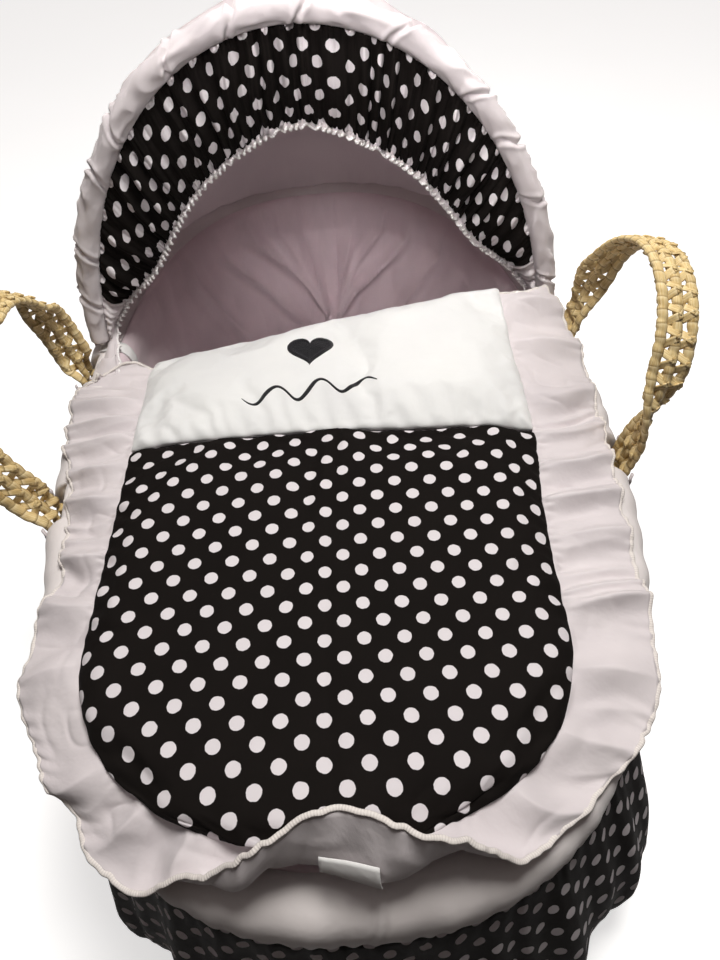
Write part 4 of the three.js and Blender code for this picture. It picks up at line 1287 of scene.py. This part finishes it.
def make_pad(name, top, bottom, uv, material):
    """A closed pad from two grids that share their outline."""
    rows, cols = top.shape[:2]
    shape = Shape()
    upper = shape.grid(top, uv)
    inner = shape.count + np.arange((rows - 2) * (cols - 2)).reshape(rows - 2, cols - 2)
    shape.points.append(bottom[1:-1, 1:-1].reshape(-1, 3))
    shape.count += inner.size
    lower = upper.copy()
    lower[1:-1, 1:-1] = inner
    shape.quads(lower[:-1, :-1], lower[:-1, 1:], lower[1:, 1:], lower[1:, :-1], uv_corners(uv), flip=True)
    pad = shape.build(name, material)
    held = np.ones(shape.count)
    free = np.zeros((rows, cols), bool)
    free[1:-1, 1:-1] = True
    held[upper[free]] = 0
    group = pad.vertex_groups.new(name="held")
    group.add([int(i) for i in np.flatnonzero(held)], 1.0, "REPLACE")
    return pad


def simulate_pad(pad, pressure, excess):
    """Blows the pad's loose top cloth up against its sewn outline, and keeps the result."""
    scene = bpy.context.scene
    before = np.array([v.co for v in pad.data.vertices])
    modifier = pad.modifiers.new("cloth", "CLOTH")
    settings = modifier.settings
    settings.quality = 6
    settings.mass = 0.25
    settings.tension_stiffness = settings.compression_stiffness = 25
    settings.shear_stiffness = 12
    settings.bending_stiffness = 0.35
    settings.shrink_min = -excess
    settings.use_pressure = True
    settings.uniform_pressure_force = pressure
    settings.vertex_group_mass = "held"
    settings.effector_weights.gravity = 0
    modifier.collision_settings.use_collision = False
    scene.frame_start, scene.frame_end = 1, SIM_FRAMES
    modifier.point_cache.frame_start, modifier.point_cache.frame_end = 1, SIM_FRAMES
    for step in range(1, SIM_FRAMES + 1):
        scene.frame_set(step)
    depsgraph = bpy.context.evaluated_depsgraph_get()
    after = np.array([v.co for v in pad.evaluated_get(depsgraph).data.vertices])
    pad.modifiers.remove(modifier)
    scene.frame_set(1)
    move = after - before
    size = np.linalg.norm(move, axis=1, keepdims=True)
    move = move * np.minimum(1, SIM_CAP * MM / np.maximum(size, 1e-9))
    pad.data.vertices.foreach_set("co", (before + move).astype(np.float32).ravel())
    pad.data.update()


def finish_pad(pad, pressure, excess, fill, *nodes):
    simulate_pad(pad, pressure, excess)
    modifier = pad.modifiers.new("smooth", "SUBSURF")
    modifier.levels = modifier.render_levels = 1
    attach(pad, "coverlet")
    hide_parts(*nodes)
    return pad


def foot_rows(count):
    """v of rows that crowd together towards the tip of the rounded foot."""
    return FOOT_V - FOOT_LENGTH * np.sin(FOOT_SWEEP * np.linspace(1, 0, count))


def panel_rows(share):
    """v of each row of the polka panel, from the rounded foot to the seam, for each column."""
    foot = foot_rows(PANEL_FOOT_ROWS)
    body = np.linspace(0, 1, PANEL_BODY_ROWS + 1)[1:, None]
    foot = np.tile(foot[:, None], (1, len(share)))
    return np.concatenate([foot, lerp(FOOT_V, seam_line(share)[None], body)])


def band_rows(share):
    t = np.linspace(0, 1, 44)[:, None]
    return lerp(seam_line(share)[None], TOP_V, t)


def make_panel():
    row = np.arange(PANEL_FOOT_ROWS + PANEL_BODY_ROWS)[:, None]
    end_share = np.where(row < 40, 1.0, 2.6)
    top, bottom, uv, edge = pad_grids(panel_rows, 88, PANEL_RISE, 26, end_share)
    u, v = uv[..., 0], uv[..., 1]
    crease = -1.5 * bump(u, 4 + 4 * np.sin(v / 60), 5) * smoothstep(edge, 0, 30)
    drag = 0.6 * np.cos((0.8 * u + v) / 17 + 2 * noise(u / 90, v / 90, 66)) * smoothstep(u + v, 60, 190)
    pull = 2.1 * waves(0.5 + (v + 0.35 * u) / 700, 46, 67, wander=0.8) * bump(edge, 5, 9)
    top[..., 2] += (crease + drag * smoothstep(edge, 0, 25) + pull) * smoothstep(edge, 0, 6)
    panel = make_pad("polka_panel", top, bottom, uv, MATERIAL["polka"])
    return finish_pad(panel, 1.2, 0.035, 0.35, "coverlet_panel", "coverlet_panel_wadding")


def make_band():
    top, bottom, uv, edge = pad_grids(band_rows, 92, BAND_RISE, 36, 1.0)
    u, v = uv[..., 0], uv[..., 1]
    pull = 1.3 * waves(0.5 + (u + 0.2 * v) / 800, 46, 68) * bump(v - SEAM_V, 4, 13)
    side = 1.5 * waves(0.5 + (v + 0.3 * np.abs(u)) / 500, 44, 70, wander=0.8)
    side = side * bump(coverlet_half(v) - np.abs(u), 4, 9)
    drag = 1.0 * noise(u / 55 + v / 120, v / 35 - u / 90, 69)
    top[..., 2] += (pull + side + drag) * smoothstep(edge, 0, 8)
    band = make_pad("white_band", top, bottom, uv, MATERIAL["band"])
    return finish_pad(band, 1.6, 0.03, 0.6, "coverlet_band", "coverlet_band_wadding")


def make_backing():
    foot = foot_rows(20)
    v = np.concatenate([foot, np.linspace(FOOT_V, TOP_V, 50)[1:]])[:, None]
    s = np.linspace(-1, 1, 60)[None]
    u = (coverlet_half(v) - 0.6) * s
    edge = np.minimum(coverlet_half(v) - np.abs(u), np.minimum(v - v[0], v[-1] - v))
    sag = 1.6 * dome(edge, 30) + 0.5 * noise(u / 35, v / 35, 71)
    points = coverlet_point(*sewn_shape(u, v), coverlet_z(u, v) + COVER_BOTTOM - 0.6 - sag)
    uv = stack(u, v)
    backing = make_sheet("coverlet_lining", points, CLOTH, MATERIAL["white"], uv)
    wear(backing, "coverlet", "white_cloth", "coverlet_backing")


# Where the frill's free edge lies. Each row is the place along the coverlet's edge (0 to 1 down
# the left side, 1 to 2 round the foot, 2 to 3 up the right side), then the free edge's u, v and
# z, and how far the cloth bellies out beyond the seam and at what height before it gets there.
FRILL_EDGE = [
    (0.00, -222, 207, 257, 30, 259), (0.12, -239, 190, 256, 34, 263), (0.25, -238, 152, 255, 34, 266),
    (0.40, -231, 106, 256, 32, 266), (0.47, -222, 84, 257, 30, 266),
    (0.66, -211, 20, 257, 26, 265), (0.83, -205, -34, 257, 22, 265),
    (0.91, -213, -58, 256, 26, 265), (1.00, -212, -98, 255, 26, 264), (1.125, -199, -145, 254, 26, 262),
    (1.19, -181, -172, 253, 26, 261), (1.25, -161, -192, 251, 26, 260), (1.30, -139, -222, 252, 26, 259),
    (1.33, -114, -240, 258, 26, 259), (1.365, -88, -240, 270, 28, 260), (1.39, -64, -240, 285, 27, 264),
    (1.434, -36, -233, 307, 25, 270), (1.471, -17, -229, 316, 25, 275), (1.49, -6, -225, 320, 25, 275),
    (1.529, 17, -221, 321, 25, 275), (1.574, 41, -226, 318, 25, 275), (1.608, 58, -232, 312, 26, 272),
    (1.647, 78, -236, 300, 28, 266), (1.69, 112, -232, 270, 28, 262), (1.73, 142, -214, 258, 26, 261),
    (1.77, 162, -198, 255, 26, 261),
    (1.84, 186, -177, 255, 28, 262), (1.93, 211, -143, 256, 30, 264), (2.00, 221, -100, 257, 32, 265),
    (2.18, 225, -36, 258, 34, 266), (2.42, 231, 52, 259, 38, 268), (2.56, 234, 100, 258, 40, 269),
    (2.66, 234, 130, 259, 38, 272), (2.84, 233, 196, 266, 36, 282), (2.93, 223, 232, 277, 34, 292),
    (3.00, 212, 264, 290, 30, 298),
]


def cover_edge(place):
    """u and v on the coverlet's sewn edge, and the way out from it."""
    left = np.clip(place, 0, 1)
    foot = np.clip(place - 1, 0, 1)
    right = np.clip(place - 2, 0, 1)
    angle = np.pi * (1 + foot)
    c, s = np.cos(angle), np.sin(angle)
    power = 2 / FOOT_POWER
    u = COVER_HALF * np.sign(c) * np.abs(c) ** power
    v = FOOT_V - FOOT_LENGTH * np.abs(s) ** power * 0.985
    v = np.where(place < 1, lerp(TOP_V - 4, FOOT_V, left), v)
    v = np.where(place > 2, lerp(FOOT_V, TOP_V - 4, right), v)
    return u, v, c, s


def frill_places():
    """Places along the coverlet's edge, evenly spaced in length."""
    dense = np.linspace(0, 3, 6000)
    u, v, _, _ = cover_edge(dense)
    length = arc_lengths(stack(u, v, 0))
    return np.interp(np.linspace(0, length[-1], FRILL_COLS), length, dense), length[-1]


def frill_grid():
    """The frill's middle surface: columns along the seam, rows from the seam to the free edge."""
    place, _ = frill_places()
    u, v, c, s = cover_edge(place)
    edge = smooth_curve(FRILL_EDGE, place)
    height = coverlet_z(u, v) + 0.6
    u, v = sewn_shape(u, v)
    start = coverlet_point(u - FRILL_TUCK * c, v - FRILL_TUCK * s, height - 0.8)
    belly = edge[:, 3]
    rise = lerp(start[:, 2], edge[:, 4], 0.45) + 2.5
    first = coverlet_point(u + 0.45 * belly * c, v + 0.45 * belly * s, rise)
    second = coverlet_point(u + belly * c, v + belly * s, edge[:, 4])
    free = coverlet_point(edge[:, 0], edge[:, 1], edge[:, 2])
    t = np.linspace(0, 1, FRILL_ROWS)[:, None, None]
    points = (1 - t) ** 3 * start + 3 * t * (1 - t) ** 2 * first
    points = points + 3 * t * t * (1 - t) * second + t**3 * free
    return points + frill_folds(place, t[..., 0])[..., None] * grid_normals(points)


def frill_folds(place, t):
    """Gathers at the seam that open into soft folds at the free edge."""
    share = place[None] / 3
    swell = hump(np.clip(0.08 + 0.72 * t, 0, 1))
    lean = share + 0.016 * noise(share * 8, t * 0.8, 80) * t
    big = creases(lean, 25, 81) * 5.8 * swell
    mask = smoothstep(noise(share * 26, t * 1.5, 85), -0.3, 0.5)
    mid = creases(lean - 0.006 * t, 40, 82) * 2.6 * swell * mask
    crumple = 1.3 * noise(share * 46, t * 2.2, 86) * hump(t)
    crumple = crumple + 0.5 * noise(share * 110, t * 4, 87) * t
    ridge = 0.45 - np.abs(noise(share * 58 + t, t * 2.4 - share * 9, 88))
    ridge = ridge * smoothstep(ridge, -0.1, 0.45) * hump(np.clip(0.1 + 0.8 * t, 0, 1))
    crumple = crumple + 2.5 * ridge
    seam = waves(share, 120, 83, wander=0.8) * 0.9 * bump(t, 0.06, 0.10) * mask
    free = waves(share, 96, 84, wander=0.8) * 0.7 * t**5
    folds = (big + crumple + mid + free) * smoothstep(t, 0, 0.1)
    return folds + seam * smoothstep(t, 0, 0.05)


def make_frill():
    points = frill_grid()
    frill = make_sheet("coverlet_ruffle", points, CLOTH, MATERIAL["white"], metric_uv(points, 1.25))
    wear(frill, "coverlet", "white_cloth", "coverlet_frill")
    add_overlock(points)
    return points


def add_overlock(points):
    """Thread bound over the frill's free edge and its two short ends."""
    path = np.concatenate([points[:, 0], points[-1], points[::-1, -1]])
    length = arc_lengths(path)
    keep = np.concatenate([[True], np.diff(length) > 0.3])
    path, length = path[keep], length[keep]
    s = np.linspace(0, length[-1], 2400)
    line = read_along(path, length, s) + 0.5 * np.stack([noise(s / 5, k, 91) for k in range(3)], axis=1)
    along, side = run_of(line, (0, 0, 1))
    up = np.cross(side, along)
    ribs = 1 + 0.05 * np.abs(np.sin(np.pi * s / 1.8))[:, None] + 0 * np.arange(8)[None]
    shape = Shape()
    shape.tube(line, side * 1.7, up * 0.85, 8, ribs)
    wear(shape.build("ruffle_overlock", MATERIAL["overlock"]), "coverlet", "white_cloth")


def surface_under(obj):
    """A function that gives the height of a piece's top surface at x and y."""
    depsgraph = bpy.context.evaluated_depsgraph_get()
    tree = BVHTree.FromObject(obj, depsgraph)

    def height(x, y):
        hit = tree.ray_cast(Vector((x * MM, y * MM, 1.0)), Vector((0, 0, -1)))
        return hit[0].z / MM

    return height


def drape(points, height, lift):
    """Moves points down onto a surface, keeping their own height above it."""
    flat = points.reshape(-1, 3)
    on = np.array([height(x, y) for x, y, _ in flat])
    flat[:, 2] = on + lift.reshape(-1)
    return flat.reshape(points.shape)


def make_heart(height):
    """A satin-stitch heart: a raised border round a lower fill."""
    turn = np.linspace(0, 2 * np.pi, 97)[:-1]
    x = np.sin(turn) ** 3
    y = (13 * np.cos(turn) - 5 * np.cos(2 * turn) - 2 * np.cos(3 * turn) - np.cos(4 * turn)) / 16
    share = np.array([0.04, 0.2, 0.36, 0.52, 0.66, 0.74, 0.80, 0.88, 0.95, 0.99, 1.0])[:, None]
    rise = np.array([0.75, 0.75, 0.75, 0.7, 0.6, 0.9, 1.35, 1.55, 1.2, 0.7, -0.5])[:, None]
    u, v = HEART_U + HEART * x * share, HEART_V + HEART * y * share
    ridge = 0.12 * np.sin(2 * np.pi * (u + v) / 1.6) * (rise > 0)
    points = drape(coverlet_point(u, v, 0 * u), height, rise + ridge)
    uv = stack(u, v)
    uv = np.concatenate([uv, uv[:, :1]], axis=1)
    shape = Shape()
    shape.capped(points, uv, uv[0, 0], uv[-1, 0])
    heart = shape.build("stitched_heart", MATERIAL["thread"])
    wear(heart, "coverlet", "black_thread", "embroidered_heart")


def make_flourish(height):
    """A satin-stitch line that rises and falls, with a small loop of thread at each end."""
    s = np.linspace(-1, 1, 260)
    u = HEART_U + FLOURISH_HALF * s
    v = FLOURISH_V + 4 * s + 8 * np.sin(3 * np.pi * s) * (1 - 0.3 * s * s)
    line = coverlet_point(u, v, 0 * s)
    half = 1.9 * np.sqrt(np.clip(1 - s**8, 0.02, 1)) * (0.8 + 0.3 * np.cos(3 * np.pi * s))
    _, side = run_of(line, (0, 0, 1))
    turns = np.linspace(0, np.pi, 9)[:, None]
    across = -np.cos(turns) * half[None]
    rise = 1.1 * np.sin(turns) - 0.25 + 0.1 * np.sin(2 * np.pi * s * FLOURISH_HALF / 1.1)[None]
    points = drape(line[None] + across[..., None] * side[None], height, rise + 0 * across)
    low = points.copy()
    low[..., 2] = drape(points.copy(), height, np.full(across.shape, -0.5))[..., 2]
    uv = metric_uv(points)
    shape = Shape()
    shape.shell(points, low, uv)
    flourish = shape.build("stitched_flourish", MATERIAL["thread"])
    wear(flourish, "coverlet", "black_thread", "embroidered_flourish")


def make_label(frill):
    """A blank woven label on the underside of the frill, where it turns up at the foot."""
    place, length = frill_places()
    middle = int(np.searchsorted(place, LABEL_PLACE))
    half = int(LABEL_WIDE / 2 / (length / FRILL_COLS))
    cols = np.linspace(middle - half, middle + half, 15).astype(int)
    rows = np.linspace(*LABEL_ROWS, 9) * (FRILL_ROWS - 1)
    low = np.floor(rows).astype(int)
    part = (rows - low)[:, None, None]
    points = lerp(frill[low][:, cols], frill[low + 1][:, cols], part)
    straight = lerp(points[:, :1], points[:, -1:], np.linspace(0, 1, 15)[None, :, None])
    points = lerp(points, straight, 0.7)
    normals = grid_normals(points)
    outwards = normals * np.sign((normals * [0, -1, 0.2]).sum(-1).mean())
    points = points + outwards * (3.0 + 1.2 * np.sin(np.pi * np.linspace(0, 1, 9)))[:, None, None]
    label = make_sheet("blank_label", points, 0.5, MATERIAL["label"])
    wear(label, "coverlet", "label_tape", "care_label")


def make_coverlet():
    make_panel()
    band = make_band()
    make_backing()
    frill = make_frill()
    make_label(frill)
    height = surface_under(band)
    make_heart(height)
    make_flourish(height)


# ---------- CAD nodes that keep their own shape ----------


def give_material(node, material):
    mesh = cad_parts[node].data
    mesh.materials.clear()
    mesh.materials.append(material)


def straw_by_place():
    """Palm leaf for the CAD nodes, which have no cloth coordinates, with painted shade in the grooves
    between strands.
    """
    nodes = material_nodes("straw_coil")
    place = nodes.add("TexCoord").outputs["Object"]
    scaled = nodes.add("Mapping", {"Vector": place, "Scale": (1000, 1000, 1000)}).outputs[0]
    strands = nodes.wave(scaled, 7.0, "DIAGONAL")
    fibres = nodes.noise(scaled, 0.5, 5.0)
    color = nodes.blend(fibres, (0.50, 0.35, 0.15, 1), (0.80, 0.65, 0.38, 1))
    # painted shade: the straw is darkened in the groove between one strand and the next
    color = nodes.blend(nodes.spread(strands, 0.0, 0.25, 1.0, 0.0), color, (0.25, 0.15, 0.06, 1))
    return nodes.finish(color, 0.62, nodes.relief(strands, 0.002, 0.7), 0.0)


def dress_cad_nodes():
    coil = straw_by_place()
    for node in ["rim_braid"] + [f"handle_lashing_{w}_{e}" for w in SIDES for e in ENDS]:
        give_material(node, coil)
    give_material("hood_hoop", MATERIAL["hoop"])


# ---------- camera, floor and light ----------


def add_camera():
    yaw, pitch, roll = (math.radians(a) for a in (CAMERA_YAW, CAMERA_PITCH, CAMERA_ROLL))
    ahead = Vector((math.sin(yaw) * math.cos(pitch), math.cos(yaw) * math.cos(pitch), -math.sin(pitch)))
    level = Vector((math.cos(yaw), -math.sin(yaw), 0))
    above = level.cross(ahead)
    right = math.cos(roll) * level + math.sin(roll) * above
    up = -math.sin(roll) * level + math.cos(roll) * above
    data = bpy.data.cameras.new("camera")
    data.lens = LENS
    data.sensor_width = 36
    data.clip_start = 0.01
    camera = bpy.data.objects.new("camera", data)
    turned = Matrix((right, up, -ahead)).transposed().to_4x4()
    camera.matrix_world = Matrix.Translation(Vector(CAMERA_AT) * MM) @ turned
    bpy.context.scene.collection.objects.link(camera)
    bpy.context.scene.camera = camera


def add_floor():
    nodes = material_nodes("floor")
    place = nodes.add("TexCoord").outputs["Object"]
    mottle = nodes.noise(place, 6.0, 3.0)
    material = nodes.finish(nodes.blend(mottle, (0.86, 0.86, 0.86, 1), (0.9, 0.9, 0.9, 1)), 0.9)
    nodes.put(nodes.shader, {"Emission Color": (1, 0.995, 0.99, 1), "Emission Strength": FLOOR_GLOW})
    shape = Shape()
    corners = np.linspace(-FLOOR_HALF, FLOOR_HALF, 5)
    points = stack(corners[None], corners[:, None], -0.5)
    shape.grid(points, points[..., :2])
    floor = shape.build("floor", material)
    floor.visible_diffuse = False


def add_lamp(name, place, target, size, power, spread, color):
    """A soft round lamp. Places are in millimetres and the power is in watts."""
    data = bpy.data.lights.new(name, "AREA")
    data.shape = "DISK"
    data.size = size * MM
    data.energy = power
    data.spread = math.radians(spread)
    data.color = color
    lamp = bpy.data.objects.new(name, data)
    lamp.location = Vector(place) * MM
    lamp.rotation_mode = "QUATERNION"
    lamp.rotation_quaternion = (Vector(target) - Vector(place)).to_track_quat("-Z", "Y")
    bpy.context.scene.collection.objects.link(lamp)


def add_lights():
    world = bpy.data.worlds.new("studio")
    nodes = Nodes(world)
    place = nodes.add("TexCoord").outputs["Generated"]
    towards = nodes.add("VectorMath", {0: place, 1: SKY_MIDDLE}, operation="DOT_PRODUCT")
    ramp = nodes.add("ValToRGB", {0: towards.outputs["Value"]})
    low, high = ramp.color_ramp.elements
    low.color, low.position = (0.016, 0.010, 0.007, 1), 0.45
    high.color, high.position = (0.56, 0.52, 0.51, 1), 0.96
    seen = nodes.add("LightPath").outputs["Is Camera Ray"]
    backdrop = (0.97, 0.965, 0.96, 1)
    shown = nodes.add("MixRGB", {0: seen, 1: ramp.outputs[0], 2: backdrop}).outputs[0]
    nodes.put(nodes.shader, {"Color": shown})
    scene = bpy.context.scene
    scene.world = world
    scene.view_settings.view_transform = "Standard"
    add_lamp("key", KEY_AT, (0, 0, 250), 520, KEY_POWER, 180, (1.0, 0.985, 0.95))
    add_lamp("hood_fill", FILL_AT, FILL_TARGET, 300, FILL_POWER, 34, (1.0, 0.95, 0.95))


# ---------- the assembly ----------

add_camera()
add_floor()
add_lights()
dress_cad_nodes()
make_basket_wall()
make_basket_floor()
make_straps()
make_liner_floor()
make_liner_wall()
make_roll()
make_slot_trims()
make_skirt()
make_mattress()
make_casing()
make_hood_strips()
make_hood_edge()
make_hood_cover()
make_hood_ties()
make_coverlet()
